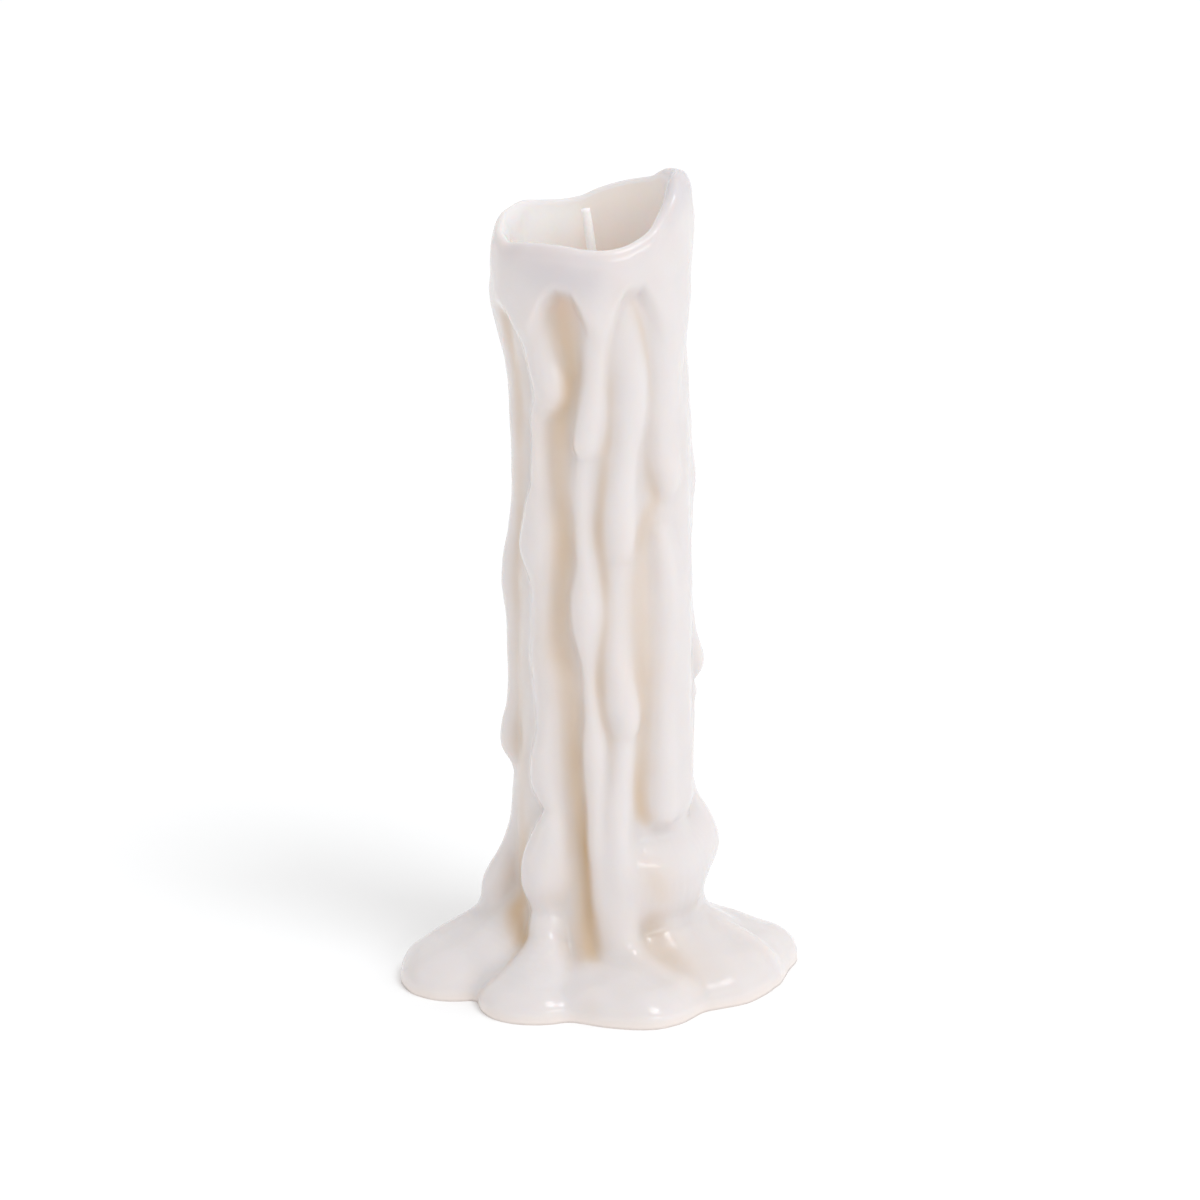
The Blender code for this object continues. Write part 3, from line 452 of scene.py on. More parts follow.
# The cup's wall at the rim: (angle, thickness, height of its rounding).
RIM_WALL = [
    (-175, 1.9, 1.3), (-140, 2.6, 2.4), (-105, 5.0, 6.4), (-80, 5.0, 6.4), (-50, 4.4, 5.4),
    (-20, 4.2, 5.0), (15, 4.4, 5.2), (36, 4.6, 5.0), (50, 5.0, 5.0), (66, 6.0, 6.2), (82, 6.8, 7.2),
    (100, 6.2, 6.4), (120, 4.0, 3.4), (142, 2.2, 1.6), (160, 1.9, 1.3),
]
CHANNEL_RADIUS = 1.35
CUP_FLOOR_HEIGHT = 184.0
CUP_RADIUS = 19.6
CUP_FILLET = 5.0
FLOOR_RISE = (0.9, 2.2)

# The foot's guide: (share of the way from the pillar to the edge, height, tilt of the normal).
FOOT_EDGE_HEIGHT = 2.6
FOOT_GUIDE = [
    (0.00, 46.0, 0), (0.06, 34.0, 9), (0.10, 28.5, 16), (0.15, 23.5, 27), (0.22, 18.5, 40),
    (0.32, 14.2, 51), (0.45, 11.0, 60), (0.60, 8.8, 66), (0.74, 7.4, 68), (0.86, 6.3, 64),
    (0.94, 5.2, 48), (0.985, 3.9, 25), (1.0, FOOT_EDGE_HEIGHT, 0),
]
UNDERCUT_HEIGHTS = np.array([1.7, 0.8, 0.0])
PILLAR_GUIDE_RADIUS = 24.5
PILLAR_FOOT_HEIGHT = 46.0
FOOT_SPAN = 28.0
WALL_TAPER_POWER = 1.4

# The guide points start this far out from their guide, or this far for the foot's edge, and each step
# moves them by part of the distance to the wax, up to a longest step.
REACH = 9.0
EDGE_START = 60.0
EDGE_REACH = 6.0
EDGE_STEPS = 60
STEPS = 26
STEP_SHARE = 0.85
LONGEST_STEP = 4.0
UPRIGHT_TILT = 30

AROUND = 360
PILLAR_ROWS = 156
FOOT_ROWS = 60
RIM_ROWS = 12
WALL_ROWS = 16
FILLET_ROWS = 6
FLOOR_ROWS = 11


def settle(radius, height, tilt, angle, reach=REACH, steps=STEPS):
    """Slides a grid of guide points along their normals, from outside, until they lie on the wax. Gives
    the points and how far each lies above its guide."""
    turn = np.radians(angle)[:, None]
    lift = np.radians(tilt)
    flat = 0 * turn
    normal = np.stack(
        [np.cos(lift) * np.sin(turn), -np.cos(lift) * np.cos(turn), np.sin(lift) + flat], axis=-1
    )
    shift = smooth_curve(LEAN, height) * (tilt < UPRIGHT_TILT)
    start = np.stack([radius * np.sin(turn) + shift, -radius * np.cos(turn), height + flat], axis=-1)
    start = (start + reach * normal).reshape(-1, 3)
    normal = normal.reshape(-1, 3)
    travelled = np.zeros(len(start))
    for _ in range(steps):
        gap = wax_distance(start - travelled[:, None] * normal)
        travelled += np.clip(STEP_SHARE * gap, -LONGEST_STEP, LONGEST_STEP)
    settled = (start - travelled[:, None] * normal).reshape(*radius.shape, 3)
    return settled, reach - travelled.reshape(radius.shape)


def ring(radius, angle, height, shift=0.0):
    """Points round the axis: radius and height for each angle and row, moved along X by shift."""
    x, y = at_angle(radius, angle[:, None])
    return np.stack([x + shift, y, height + 0 * x], axis=-1)


angle = np.linspace(-180, 180, AROUND, endpoint=False)
rim = ring_curve(RIM, angle)
wall = ring_curve(RIM_WALL, angle)
rounding = ring_curve(RIM_WALL, angle, column=2)
shoulder = rim - rounding

edge_guide = np.full((AROUND, 1), EDGE_START)
edge_height = np.full_like(edge_guide, FOOT_EDGE_HEIGHT)
edge, _ = settle(edge_guide, edge_height, 0 * edge_guide, angle, EDGE_REACH, EDGE_STEPS)
edge_radius = np.hypot(edge[:, 0, 0], edge[:, 0, 1])

down = np.linspace(0, 1, PILLAR_ROWS)
pillar_height = shoulder[:, None] + (PILLAR_FOOT_HEIGHT - shoulder[:, None]) * down
pillar_radius = np.full_like(pillar_height, PILLAR_GUIDE_RADIUS)

guide = np.array(FOOT_GUIDE, float)
run = np.cumsum(np.hypot(np.diff(guide[:, 0] * FOOT_SPAN), np.diff(guide[:, 1])))
guide = np.column_stack([np.concatenate([[0.0], run]), guide])
where = np.linspace(0, guide[-1, 0], FOOT_ROWS + 1)[1:]
share, foot_height, foot_tilt = (smooth_curve(guide, where, column) for column in (1, 2, 3))
foot_radius = PILLAR_GUIDE_RADIUS + share * (edge_radius[:, None] - PILLAR_GUIDE_RADIUS)
under_radius = np.repeat(edge_radius[:, None], len(UNDERCUT_HEIGHTS), axis=1)

outer, relief = settle(
    np.concatenate([pillar_radius, foot_radius, under_radius], axis=1),
    np.concatenate(
        [pillar_height, foot_height + 0 * foot_radius, UNDERCUT_HEIGHTS + 0 * under_radius], axis=1
    ),
    np.concatenate([0 * pillar_height, foot_tilt + 0 * foot_radius, 0 * under_radius], axis=1),
    angle,
)
outer[:, -1, 2] = 0.0
outer[:, -len(UNDERCUT_HEIGHTS) :, :2] = outer[:, -len(UNDERCUT_HEIGHTS) - 1, None, :2]

lean = smooth_curve(LEAN, shoulder)
outside = np.hypot(outer[:, 0, 0] - lean, outer[:, 0, 1])
turn = np.linspace(0, np.pi, RIM_ROWS + 2)[1:-1]
lip_radius = (outside - wall / 2)[:, None] + (wall / 2)[:, None] * np.cos(turn)
lip = ring(lip_radius, angle, shoulder[:, None] + rounding[:, None] * np.sin(turn), lean[:, None])

down = np.linspace(0, 1, WALL_ROWS)
taper = (CUP_RADIUS - outside + wall)[:, None] * down**WALL_TAPER_POWER
inner_radius = (outside - wall)[:, None] + taper
inner_height = shoulder[:, None] + (CUP_FLOOR_HEIGHT + CUP_FILLET - shoulder[:, None]) * down
inner = ring(inner_radius, angle, inner_height, smooth_curve(LEAN, inner_height))

turn = np.linspace(0, np.pi / 2, FILLET_ROWS + 1)[1:]
flat_radius = CUP_RADIUS - CUP_FILLET
inward = CHANNEL_RADIUS + (flat_radius - CHANNEL_RADIUS) * np.linspace(1, 0, FLOOR_ROWS + 1)[1:]
floor_radius = np.concatenate([flat_radius + CUP_FILLET * np.cos(turn), inward])
hump = FLOOR_RISE[0] * np.exp(-(((inward - CHANNEL_RADIUS) / FLOOR_RISE[1]) ** 2))
floor_height = CUP_FLOOR_HEIGHT + np.concatenate([CUP_FILLET * (1 - np.sin(turn)), hump])
floor_shift = np.clip((floor_radius - CHANNEL_RADIUS) / flat_radius, 0, 1)
floor_shift = floor_shift * smooth_curve(LEAN, CUP_FLOOR_HEIGHT)
cup_floor = ring(floor_radius[None, :], angle, floor_height, floor_shift)

channel = ring(np.array([[CHANNEL_RADIUS]]), angle, 0.0)
underside = outer[:, -1:] * np.array([0.5, 0.5, 0.0])
skin = np.concatenate(
    [channel, cup_floor[:, ::-1], inner[:, ::-1], lip[:, ::-1], outer, underside], axis=1
)


def grid_faces(across, along):
    """Quads of a grid that closes on itself both ways."""
    i = np.arange(across)[:, None]
    j = np.arange(along)[None, :]
    right = (i + 1) % across
    up = (j + 1) % along
    quads = np.stack(
        [i * along + j, i * along + up, right * along + up, right * along + j], axis=-1
    )
    return quads.reshape(-1, 4)


def grid_normals(grid):
    """Unit normals of a closed grid: the cross product of its two central differences."""
    along_ring = np.roll(grid, -1, axis=0) - np.roll(grid, 1, axis=0)
    along_row = np.roll(grid, -1, axis=1) - np.roll(grid, 1, axis=1)
    normal = np.cross(along_row, along_ring)
    return normal / (np.linalg.norm(normal, axis=-1, keepdims=True) + 1e-12)


def smooth_step(low, high, value):
    """0 below low, 1 above high, and an easing curve between them."""
    t = np.clip((value - low) / (high - low), 0, 1)
    return t * t * (3 - 2 * t)


def new_mesh_object(name, vertices, faces):
    """A smooth-shaded mesh object in the scene, made from arrays of points and of faces."""
    mesh = bpy.data.meshes.new(name)
    mesh.from_pydata(vertices.tolist(), [], faces.tolist())
    mesh.update()
    mesh.polygons.foreach_set("use_smooth", np.ones(len(mesh.polygons), bool))
    made = bpy.data.objects.new(name, mesh)
    bpy.context.scene.collection.objects.link(made)
    return made


body = new_mesh_object("melted_wax", skin.reshape(-1, 3) * MM, grid_faces(*skin.shape[:2]))

# Painted shade in the bottoms of the valleys: a warm tan that stands in for the shade and the light
# glowing through the wax there: (height, angle, distance from the axis, half width, strength).
PAINTED_SHADE_PATHS = {
    "valley_2": [
        (199, -19, 25.5, 3.2, 0.2), (195, -19, 25, 3.8, 0.5), (191, -19, 23, 4.5, 0.8),
        (183, -20, 22.5, 5, 0.85), (174, -18, 22.5, 3.8, 0.85), (166, -21, 22.5, 3.5, 0.9),
        (161, -27, 22.5, 4.2, 0.9), (153, -30, 22.5, 4.7, 0.85), (142, -29, 22.5, 4.2, 0.85),
        (126, -26, 22.5, 4.2, 0.85), (112, -29, 22.5, 4.6, 0.8), (98, -31, 22.5, 5.4, 0.85),
        (87, -25, 22.5, 5, 0.85), (74, -21, 22.5, 4.6, 0.9), (54, -16, 22.5, 4, 0.95),
        (38, -11, 22.6, 3.6, 1), (26, -9, 24, 4.2, 1.05), (19, -8, 26.5, 4.6, 1.1),
        (14, -6, 28.5, 4.2, 1.05), (11, -3, 30, 2.6, 0.6),
    ],
    "valley_1": [
        (188, -74, 25, 1.8, 0.6), (182, -77, 23.5, 3, 0.8), (175, -74, 23, 3.8, 0.85),
        (164, -68, 22.5, 3.6, 0.85), (153, -66, 22.5, 3.2, 0.8), (140, -67, 22.5, 3.2, 0.75),
        (128, -70, 22.8, 3, 0.65), (111, -73, 22.8, 4.2, 0.6), (88, -74, 22.8, 4.2, 0.55),
        (66, -73, 22.8, 4.2, 0.55), (50, -70, 23.4, 4.2, 0.6), (36, -65, 24.4, 4.2, 0.7),
        (26, -60, 26.5, 4.4, 0.95), (18, -54, 28, 4.6, 1.15), (15, -44, 29.5, 4, 1.1),
    ],
    "left_crease": [
        (14, -44, 29, 2.9, 0.75), (11, -43, 33, 1.8, 0.7), (10, -43, 39, 1.6, 0.5),
        (6, -44, 45.5, 1.6, 0.5), (3, -45, 51.5, 1.8, 0.55),
    ],
    "valley_3": [
        (195, 17, 25, 2.1, 0.35), (189, 11, 23.5, 2.4, 0.3), (181, 8, 23.5, 2.4, 0.3),
        (170, 7, 23.5, 2.4, 0.5), (159, 6, 23, 2.1, 0.65), (151, 3, 23, 2.4, 0.7),
        (140, 1, 23, 2.3, 0.75), (128, -1, 23, 2.6, 0.8), (119, 1, 23, 2.3, 0.8),
        (108, 2, 23, 2.3, 0.75), (98, 0, 23, 2.5, 0.8), (88, -1, 23, 2.5, 0.8),
        (79, 1, 23, 2.5, 0.8), (70, 5, 23, 2.3, 0.75), (60, 5, 23, 1.8, 0.5),
        (51, 3, 23.5, 1.6, 0.45), (44, 2, 24, 1.6, 0.2),
    ],
    "valley_4": [
        (195, 23, 25.5, 1.3, 0.2), (188, 29, 24, 1.6, 0.45), (179, 33, 24, 1.6, 0.55),
        (168, 34, 24, 1.6, 0.5), (159, 33, 24, 1.6, 0.35), (150, 31, 23.5, 2.1, 0.35),
        (142, 34, 23.5, 2.4, 0.5), (136, 37, 23.5, 2.8, 0.65), (129, 30, 23.5, 3.8, 0.6),
        (115, 26, 23.5, 5, 0.7), (99, 27, 23.5, 5, 0.72), (82, 28, 23.5, 4.2, 0.65),
        (68, 27, 23.5, 3.1, 0.7), (57, 25, 23.5, 2.8, 0.95), (50, 27, 24, 2.6, 1),
        (46, 33, 25.5, 2, 0.8), (44, 42, 27, 1.8, 0.4),
    ],
    "roll": [(40, 25, 28.5, 3.7, 0.3), (34, 30, 29, 5, 0.6), (28, 33, 29, 5, 0.6)],
    "pan": [
        (24, 32, 27, 5, 0.55), (19, 31, 27.5, 5.5, 0.7), (16, 31, 29.5, 6.5, 0.68),
        (12.5, 32, 33, 7.5, 0.75), (10.5, 35, 38, 7.5, 0.6), (9, 38, 42, 5, 0.3),
    ],
    "bulb_foot": [(28, -28, 29, 3.2, 0.3), (24, -27, 30, 2.1, 0.35)],
    "front_cleft": [(9, -4, 40, 1.6, 0.1), (6, -4, 45, 2.1, 0.2), (2, -3, 47, 2.1, 0.2)],
}

# How far the painted shade follows the valleys all round: (angle, share). The front is given by
# the paths.
VALLEY_TINT = [
    (-180, 0.75), (-110, 0.7), (-88, 0.3), (-60, 0.2), (60, 0.2), (100, 0.15), (125, 0.7),
]

# A crest is the highest point within CREST_SPAN degrees, evened out over CREST_BLUR degrees, and the
# painted shade sets in between two depths below it.
CREST_SPAN = 17
CREST_BLUR = 12
SUNK_DEPTHS = (0.6, 4.6)

# Probes held out from the skin, which tell how closed in it is and so how much painted shade it gets:
# (length, weight).
PROBES = ((3.0, 0.4), (7.0, 0.6))
# How much the probes and the paths each add to the painted shade.
CLOSED_IN_SHARE = 0.22
PATH_SHADE_SHARE = 0.66

# The cup's painted shade grows from its left to its right and from the rim down: (position along X),
# (height).
CUP_SHARE = 0.5
CUP_SIDE = (-15, 1)
CUP_DEPTH = (204, 187)

# How strong the painted grey-lilac reflection on the rim's crest is: (angle, share), and the rows from
# the crest over which it fades.
PAINTED_RIM_SHEEN = [
    (-150, 0.5), (-110, 0.1), (-75, 0.1), (-50, 0.7), (-10, 0.6), (15, 0.2), (40, 0.3), (65, 0.9),
    (150, 0.7),
]
CREST_FADE = (3, 9)
HOLLOW_FADE = 8

# Painted shade on the greyer middle of the collar, given the same way as the painted shade paths.
PAINTED_COLLAR_SHADE = [
    (202, -50, 26.4, 5, 0.3), (198, -22, 26.4, 6.5, 0.75), (198, -6, 26.4, 6, 0.7),
    (200, 3, 26.4, 4, 0.2),
]

# The heights over which the foot's thin edge, with its painted warm glow in place of the scattering,
# turns into the rest.
EDGE_BAND_HEIGHTS = (0.6, 4.2)


def path_shade_strength(points, path):
    """The painted shade round a path: its strength there, times exp(-(distance / half width) squared).
    """
    height, angle, distance, half_width, strength = along_path(path, 3).T
    x, y = at_angle(distance, angle)
    middle = np.stack([x + smooth_curve(LEAN, height), y, height], axis=1)
    tint = np.zeros(len(points))
    for i in range(len(middle) - 1):
        near = np.flatnonzero(np.abs(points[:, 2] - middle[i, 2]) < NEAR + 2 * half_width[i])
        axis = middle[i + 1] - middle[i]
        offset = points[near] - middle[i]
        share = np.clip(offset @ axis / (axis @ axis), 0, 1)
        away = np.linalg.norm(offset - share[:, None] * axis, axis=1)
        width = half_width[i] + share * (half_width[i + 1] - half_width[i])
        full = strength[i] + share * (strength[i + 1] - strength[i])
        tint[near] = np.maximum(tint[near], full * np.exp(-((away / width) ** 2)))
    return tint


# How much painted shade, a warm tan, each point of the outer skin gets: the paths, the general sinking
# below the crests on either side, and the share by which the wax closes in on a probe held in front.
crests = np.max([np.roll(relief, i, axis=0) for i in range(-CREST_SPAN, CREST_SPAN + 1)], axis=0)
blur = range(-CREST_BLUR, CREST_BLUR + 1, 2)
crests = np.mean([np.roll(crests, i, axis=0) for i in blur], axis=0)
sunk = smooth_step(*SUNK_DEPTHS, crests - relief)
normals = grid_normals(skin)
outer_rows = slice(skin.shape[1] - 1 - outer.shape[1], skin.shape[1] - 1)
points = skin[:, outer_rows].reshape(-1, 3)
facing = normals[:, outer_rows].reshape(-1, 3)
closed_in = np.zeros(len(points))
for probe, weight in PROBES:
    closed_in += weight * np.clip(1 - wax_distance(points + probe * facing) / probe, 0, 1)
path_shade = np.max([path_shade_strength(points, path) for path in PAINTED_SHADE_PATHS.values()], axis=0)
recess = np.zeros(skin.shape[:2])
recess[:, outer_rows] = (
    sunk * ring_curve(VALLEY_TINT, angle)[:, None]
    + CLOSED_IN_SHARE * closed_in.reshape(sunk.shape)
    + PATH_SHADE_SHARE * path_shade.reshape(sunk.shape)
)
# Painted shade in the cup, warmer to the right and deeper down.
inner_rows = slice(1, outer_rows.start - RIM_ROWS)
cup_side_shade = CUP_SHARE * smooth_step(*CUP_SIDE, skin[:, inner_rows, 0])
cup_depth_shade = CUP_SHARE * smooth_step(*CUP_DEPTH, skin[:, inner_rows, 2])
recess[:, inner_rows] = cup_side_shade + cup_depth_shade
recess = np.clip(recess, 0, 1)

# Masks for painted light: the cup's inside, paler for the light through its thin wall; the rim's crest,
# with a painted grey-lilac reflection, and the collar's painted shade; and the foot's thin edge, with a
# painted warm glow in place of the scattering.
crest_row = outer_rows.start - RIM_ROWS // 2
from_crest = np.abs(np.arange(skin.shape[1]) - crest_row)
painted_sheen_and_shade = (1 - smooth_step(*CREST_FADE, from_crest)) * ring_curve(PAINTED_RIM_SHEEN, angle)[:, None]
hollow = np.zeros(skin.shape[:2])
hollow[:, inner_rows] = 1.0
past_cup = np.arange(skin.shape[1] - inner_rows.stop)
hollow[:, inner_rows.stop :] = 1 - smooth_step(0, HOLLOW_FADE, past_cup)
collar_shade = path_shade_strength(points, PAINTED_COLLAR_SHADE)
painted_sheen_and_shade[:, outer_rows] = np.maximum(painted_sheen_and_shade[:, outer_rows], collar_shade.reshape(sunk.shape))
foot_edge_band = np.zeros(skin.shape[:2])
foot_edge_band[:, outer_rows] = 1 - smooth_step(*EDGE_BAND_HEIGHTS, outer[:, :, 2])
foot_edge_band[:, -1] = 1.0


def store(mesh, name, values):
    """Keeps one value for each vertex as a named attribute of the mesh."""
    attribute = mesh.attributes.new(name, "FLOAT", "POINT")
    attribute.data.foreach_set("value", values.ravel().astype(np.float32))


store(body.data, "recess", recess)
store(body.data, "painted_sheen_and_shade", painted_sheen_and_shade)
store(body.data, "hollow", hollow)
store(body.data, "foot_edge_band", foot_edge_band)


def new_material(name):
    """A node material with an empty tree but for its output and a Principled shader."""
    made = bpy.data.materials.new(name)
    made.use_nodes = True
    return made, made.node_tree, made.node_tree.nodes["Principled BSDF"]


def add_node(tree, kind, inputs=None, **settings):
    """A node with its settings, and its inputs as values or as sockets to link from."""
    node = tree.nodes.new(kind)
    for key, value in settings.items():
        setattr(node, key, value)
    for key, value in (inputs or {}).items():
        if isinstance(value, bpy.types.NodeSocket):
            tree.links.new(value, node.inputs[key])
        else:
            node.inputs[key].default_value = value
    return node


def colour_ramp(tree, factor, stops):
    """A ramp from (position, colour) stops."""
    node = add_node(tree, "ShaderNodeValToRGB", {"Fac": factor})
    ramp = node.color_ramp
    while len(ramp.elements) < len(stops):
        ramp.elements.new(0.5)
    for element, (position, colour) in zip(ramp.elements, stops):
        element.position = position
        element.color = (*colour, 1.0)
    return node.outputs["Color"]


def mix_colour(tree, factor, first, second):
    """Two colours mixed by a factor."""
    node = tree.nodes.new("ShaderNodeMix")
    node.data_type = "RGBA"
    factor_socket, first_socket, second_socket = node.inputs[0], node.inputs[6], node.inputs[7]
    for socket, value in ((factor_socket, factor), (first_socket, first), (second_socket, second)):
        if isinstance(value, bpy.types.NodeSocket):
            tree.links.new(value, socket)
        else:
            socket.default_value = value
    return node.outputs[2]


# Colours of the skin from the crests to the recesses, darker and warmer with the painted shade, and of
# the cup's inside the same way.
SKIN_COLOURS = [
    (0.0, (0.715, 0.675, 0.67)), (0.35, (0.705, 0.64, 0.605)), (0.7, (0.665, 0.55, 0.455)),
    (1.0, (0.625, 0.455, 0.29)),
]
# The cup's colours are paler than the skin's: painted light for the glow through its thin wall.
CUP_COLOURS = [
    (0.0, (0.855, 0.85, 0.855)), (0.5, (0.82, 0.78, 0.76)), (1.0, (0.79, 0.715, 0.64)),
]
# A painted grey-lilac reflection on the rim's crest, also the colour of the collar's painted shade.
SHEEN_AND_SHADE_COLOUR = (0.62, 0.59, 0.61, 1.0)
# A painted warm glow for the foot's thin edge, where the scattering is turned off.
EDGE_GLOW_COLOUR = (0.80, 0.72, 0.68, 1.0)
CLOUDINESS = 0.22
WAX_ROUGHNESS = 0.18
LIT_THROUGH = 0.9
SCATTER_COLOURS = (1.0, 0.78, 0.62)
SCATTER_LENGTH = 0.0045
GLOSS = 0.5
CUP_GLOSS_LOSS = 0.35

wax, tree, shader = new_material("ivory_wax")
place = add_node(tree, "ShaderNodeTexCoord").outputs["Object"]
# Painted shade from the recess attribute, made a warm tan by the ramp.
sunken = add_node(tree, "ShaderNodeAttribute", attribute_name="recess").outputs["Fac"]
cloud = add_node(
    tree, "ShaderNodeTexNoise", {"Vector": place, "Scale": 38.0, "Detail": 3.0, "Roughness": 0.5}
).outputs["Fac"]
cloudy = add_node(
    tree,
    "ShaderNodeMath",
    {0: cloud, 1: CLOUDINESS, 2: -CLOUDINESS / 2},
    operation="MULTIPLY_ADD",
).outputs["Value"]
depth = add_node(
    tree, "ShaderNodeMath", {0: sunken, 1: cloudy}, operation="ADD", use_clamp=True
).outputs["Value"]
tint = colour_ramp(tree, depth, SKIN_COLOURS)
# Painted light in the cup, mixed over the skin's colour.
in_cup = add_node(tree, "ShaderNodeAttribute", attribute_name="hollow").outputs["Fac"]
# Painted reflection on the rim's crest and painted shade on the collar.
sheen_and_shade = add_node(tree, "ShaderNodeAttribute", attribute_name="painted_sheen_and_shade").outputs["Fac"]
tint = mix_colour(tree, in_cup, tint, colour_ramp(tree, sunken, CUP_COLOURS))
tint = mix_colour(tree, sheen_and_shade, tint, SHEEN_AND_SHADE_COLOUR)
# Painted warm glow on the foot's thin edge.
at_floor = add_node(tree, "ShaderNodeAttribute", attribute_name="foot_edge_band").outputs["Fac"]
tint = mix_colour(tree, at_floor, tint, EDGE_GLOW_COLOUR)
tree.links.new(tint, shader.inputs["Base Color"])
shader.inputs["Roughness"].default_value = WAX_ROUGHNESS
lit_through = add_node(
    tree,
    "ShaderNodeMath",
    {0: at_floor, 1: -LIT_THROUGH, 2: LIT_THROUGH},
    operation="MULTIPLY_ADD",
).outputs["Value"]
tree.links.new(lit_through, shader.inputs["Subsurface Weight"])
shader.inputs["Subsurface Radius"].default_value = SCATTER_COLOURS
shader.inputs["Subsurface Scale"].default_value = SCATTER_LENGTH
grain = add_node(
    tree, "ShaderNodeTexNoise", {"Vector": place, "Scale": 260.0, "Detail": 3.0, "Roughness": 0.55}
).outputs["Fac"]
gloss = add_node(
    tree,
    "ShaderNodeMath",
    {0: in_cup, 1: -CUP_GLOSS_LOSS, 2: GLOSS},
    operation="MULTIPLY_ADD",
).outputs["Value"]
tree.links.new(gloss, shader.inputs["Specular IOR Level"])
bump = add_node(
    tree, "ShaderNodeBump", {"Height": grain, "Strength": 0.12, "Distance": 0.0006}
).outputs["Normal"]
tree.links.new(bump, shader.inputs["Normal"])
body.data.materials.append(wax)

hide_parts("wax_body")
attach(body, "root")

# ---------------------------------------------------------------------------------------------------
# The wick. Braided white cotton, stiff with wax. It stands straight in its channel, leans to the left
# in the cup, where the wax on it makes it thicker, and is cut off square.
# ---------------------------------------------------------------------------------------------------

WICK_LINE = [
    (0.0, 0.5), (0.0, 60.0), (0.0, 120.0), (0.0, 180.0), (0.0, 186.0), (-0.3, 188.0), (-1.0, 192.0),
    (-1.65, 196.0), (-2.3, 200.0), (-3.0, 205.0), (-3.8, 210.0),
]
WICK_RADIUS = 1.05
STRANDS = 4
STRAND_PITCH = 7.0
STRAND_RELIEF = 0.1
WAXED_SWELL = 0.18
WAXED_FROM = (185, 190)
WICK_AROUND = 40
WICK_ALONG = 360


def rod_grid(line, radius_at, around, along):
    """A tube along a line in the XZ plane: at each step a ring square to the line, whose radius is a
    function of the angle and of the length run so far."""
    path = np.array(line, float)
    length = np.concatenate([[0.0], np.cumsum(np.hypot(np.diff(path[:, 0]), np.diff(path[:, 1])))])
    run = np.linspace(0, length[-1], along)
    x = np.interp(run, length, path[:, 0])
    z = np.interp(run, length, path[:, 1])
    slope = np.arctan2(np.gradient(x), np.gradient(z))
    turn = np.linspace(0, 2 * np.pi, around, endpoint=False)[:, None]
    radius = radius_at(turn, run[None, :])
    side = radius * np.cos(turn)
    front = -radius * np.sin(turn)
    return np.stack([x + side * np.cos(slope), front, z - side * np.sin(slope)], axis=-1)


def braid_radius(turn, run):
    """Two sets of strands wound opposite ways: the larger of two rounded waves of angle and length."""
    twist = 2 * np.pi * run / STRAND_PITCH
    one = np.abs(np.cos(STRANDS / 2 * (turn + twist)))
    other = np.abs(np.cos(STRANDS / 2 * (turn - twist)))
    swell = 1 + WAXED_SWELL * smooth_step(*WAXED_FROM, run)
    return WICK_RADIUS * swell - STRAND_RELIEF * (1 - np.maximum(one, other))


def capped_rod_faces(around, along):
    """Quads of a tube made by rod_grid, and a fan from an end point to each of its two end rings."""
    i = np.arange(around)
    right = (i + 1) % around
    j = np.arange(along - 1)[None, :]
    a = i[:, None] * along + j
    b = right[:, None] * along + j
    sides = np.stack([a, a + 1, b + 1, b], axis=-1).reshape(-1, 4)
    bottom = around * along
    low = np.stack([i * along, right * along, np.full(around, bottom)], axis=-1)
    top = np.stack(
        [right * along + along - 1, i * along + along - 1, np.full(around, bottom + 1)], axis=-1
    )
    return sides.tolist() + low.tolist() + top.tolist()


COTTON_COLOURS = [(0.3, (0.95, 0.92, 0.89)), (0.7, (0.99, 0.975, 0.96))]

rod = rod_grid(WICK_LINE, braid_radius, WICK_AROUND, WICK_ALONG)
ends = np.stack([rod[:, 0].mean(axis=0), rod[:, -1].mean(axis=0)])
wick_points = np.concatenate([rod.reshape(-1, 3), ends]) * MM
wick_mesh = bpy.data.meshes.new("cotton_wick")
wick_mesh.from_pydata(wick_points.tolist(), [], capped_rod_faces(WICK_AROUND, WICK_ALONG))
wick_mesh.update()
wick_mesh.polygons.foreach_set("use_smooth", np.ones(len(wick_mesh.polygons), bool))
wick = bpy.data.objects.new("cotton_wick", wick_mesh)
bpy.context.scene.collection.objects.link(wick)

cotton, tree, shader = new_material("waxed_cotton")
place = add_node(tree, "ShaderNodeTexCoord").outputs["Object"]
fibre = add_node(
    tree, "ShaderNodeTexNoise", {"Vector": place, "Scale": 1500.0, "Detail": 2.0}
).outputs["Fac"]
tree.links.new(colour_ramp(tree, fibre, COTTON_COLOURS), shader.inputs["Base Color"])
shader.inputs["Roughness"].default_value = 0.7
shader.inputs["Subsurface Weight"].default_value = 0.2
shader.inputs["Subsurface Scale"].default_value = 0.001
bump = add_node(
    tree, "ShaderNodeBump", {"Height": fibre, "Strength": 0.3, "Distance": 0.0002}
).outputs["Normal"]
tree.links.new(bump, shader.inputs["Normal"])
wick_mesh.materials.append(cotton)

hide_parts("wick")
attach(wick, "root")

# ---------------------------------------------------------------------------------------------------
# The stage: a white floor, a white surround, a soft key lamp high on the right, a tall strip on the
# left that draws the narrow light on the drips, and a wide softbox in front on the right.
# ---------------------------------------------------------------------------------------------------

FLOOR_HALF = 6.0
CANDLE_MIDDLE = (0.0, 0.0, 0.1)
COOL = (0.93, 0.97, 1.0)
SUN_STRENGTH = 0.65
SUN_SPREAD = 0.38

# The surround is a little brighter on the right: its strength, and the share that X adds.
SURROUND_STRENGTH = 0.87
SURROUND_SLOPE = 0.11

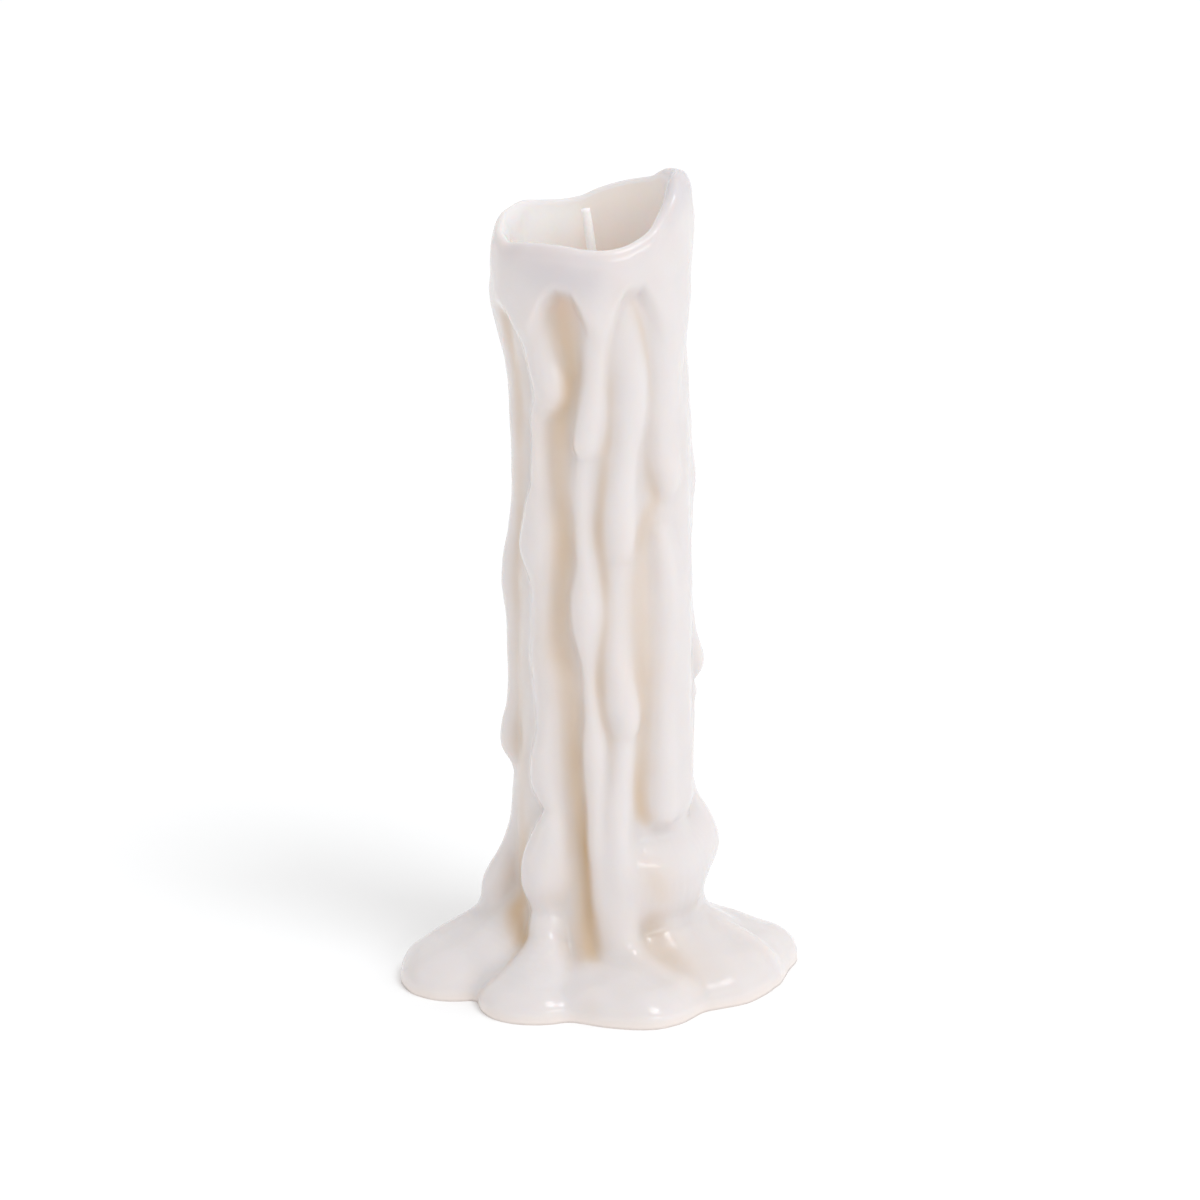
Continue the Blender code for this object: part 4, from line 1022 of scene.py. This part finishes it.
corners = np.array([(-1, -1, 0), (1, -1, 0), (1, 1, 0), (-1, 1, 0)], float) * FLOOR_HALF
floor = new_mesh_object("floor", corners, np.array([[0, 1, 2, 3]]))
paper, tree, shader = new_material("white_paper")
shader.inputs["Base Color"].default_value = (0.98, 0.98, 0.98, 1.0)
shader.inputs["Roughness"].default_value = 0.9
shader.inputs["Specular IOR Level"].default_value = 0.0
floor.data.materials.append(paper)

world = bpy.data.worlds.new("studio")
world.use_nodes = True
surround = world.node_tree.nodes["Background"]
surround.inputs["Color"].default_value = (1.0, 1.0, 1.0, 1.0)
toward = add_node(world.node_tree, "ShaderNodeTexCoord").outputs["Generated"]
split = add_node(world.node_tree, "ShaderNodeSeparateXYZ", {"Vector": toward})
graded = add_node(
    world.node_tree,
    "ShaderNodeMath",
    {0: split.outputs["X"], 1: SURROUND_SLOPE, 2: SURROUND_STRENGTH},
    operation="MULTIPLY_ADD",
)
world.node_tree.links.new(graded.outputs["Value"], surround.inputs["Strength"])
bpy.context.scene.world = world


def add_lamp(name, lamp, place, aim):
    """A lamp at place, turned to face aim."""
    made = bpy.data.objects.new(name, lamp)
    made.location = place
    toward = np.array(aim, float) - np.array(place, float)
    flat = math.hypot(toward[0], toward[1])
    made.rotation_euler = (math.atan2(flat, -toward[2]), 0.0, math.atan2(-toward[0], toward[1]))
    bpy.context.scene.collection.objects.link(made)


def soft_lamp(name, width, height, watts):
    """The data of a soft rectangular lamp."""
    lamp = bpy.data.lights.new(name, "AREA")
    lamp.shape = "RECTANGLE"
    lamp.size = width
    lamp.size_y = height
    lamp.energy = watts
    lamp.color = COOL
    return lamp


key = bpy.data.lights.new("key", "SUN")
key.energy = SUN_STRENGTH
key.angle = SUN_SPREAD
key.color = COOL
add_lamp("key", key, (0.5, -0.42, 1.0), (0.0, 0.0, 0.0))
strip = soft_lamp("left_strip", 0.05, 0.8, 0.35)
add_lamp("left_strip", strip, (-1.05, -0.25, 0.45), CANDLE_MIDDLE)
softbox = soft_lamp("softbox", 0.66, 0.14, 1.5)
add_lamp("softbox", softbox, (0.64, -0.92, 0.52), CANDLE_MIDDLE)

# ---------------------------------------------------------------------------------------------------
# The camera, a long lens a little above the rim.
# ---------------------------------------------------------------------------------------------------

CAMERA_DISTANCE = 1.6
CAMERA_LIFT = math.radians(17.3)
AIM_HEIGHT = 0.1032
SENSOR = 36.0
LENS = 180.48

lens = bpy.data.cameras.new("camera")
lens.sensor_width = SENSOR
lens.lens = LENS
camera = bpy.data.objects.new("camera", lens)
back = CAMERA_DISTANCE * math.cos(CAMERA_LIFT)
camera.location = (0.0, -back, AIM_HEIGHT + CAMERA_DISTANCE * math.sin(CAMERA_LIFT))
camera.rotation_euler = (math.pi / 2 - CAMERA_LIFT, 0.0, 0.0)
bpy.context.scene.collection.objects.link(camera)
bpy.context.scene.camera = camera
bpy.context.scene.view_settings.view_transform = "Standard"
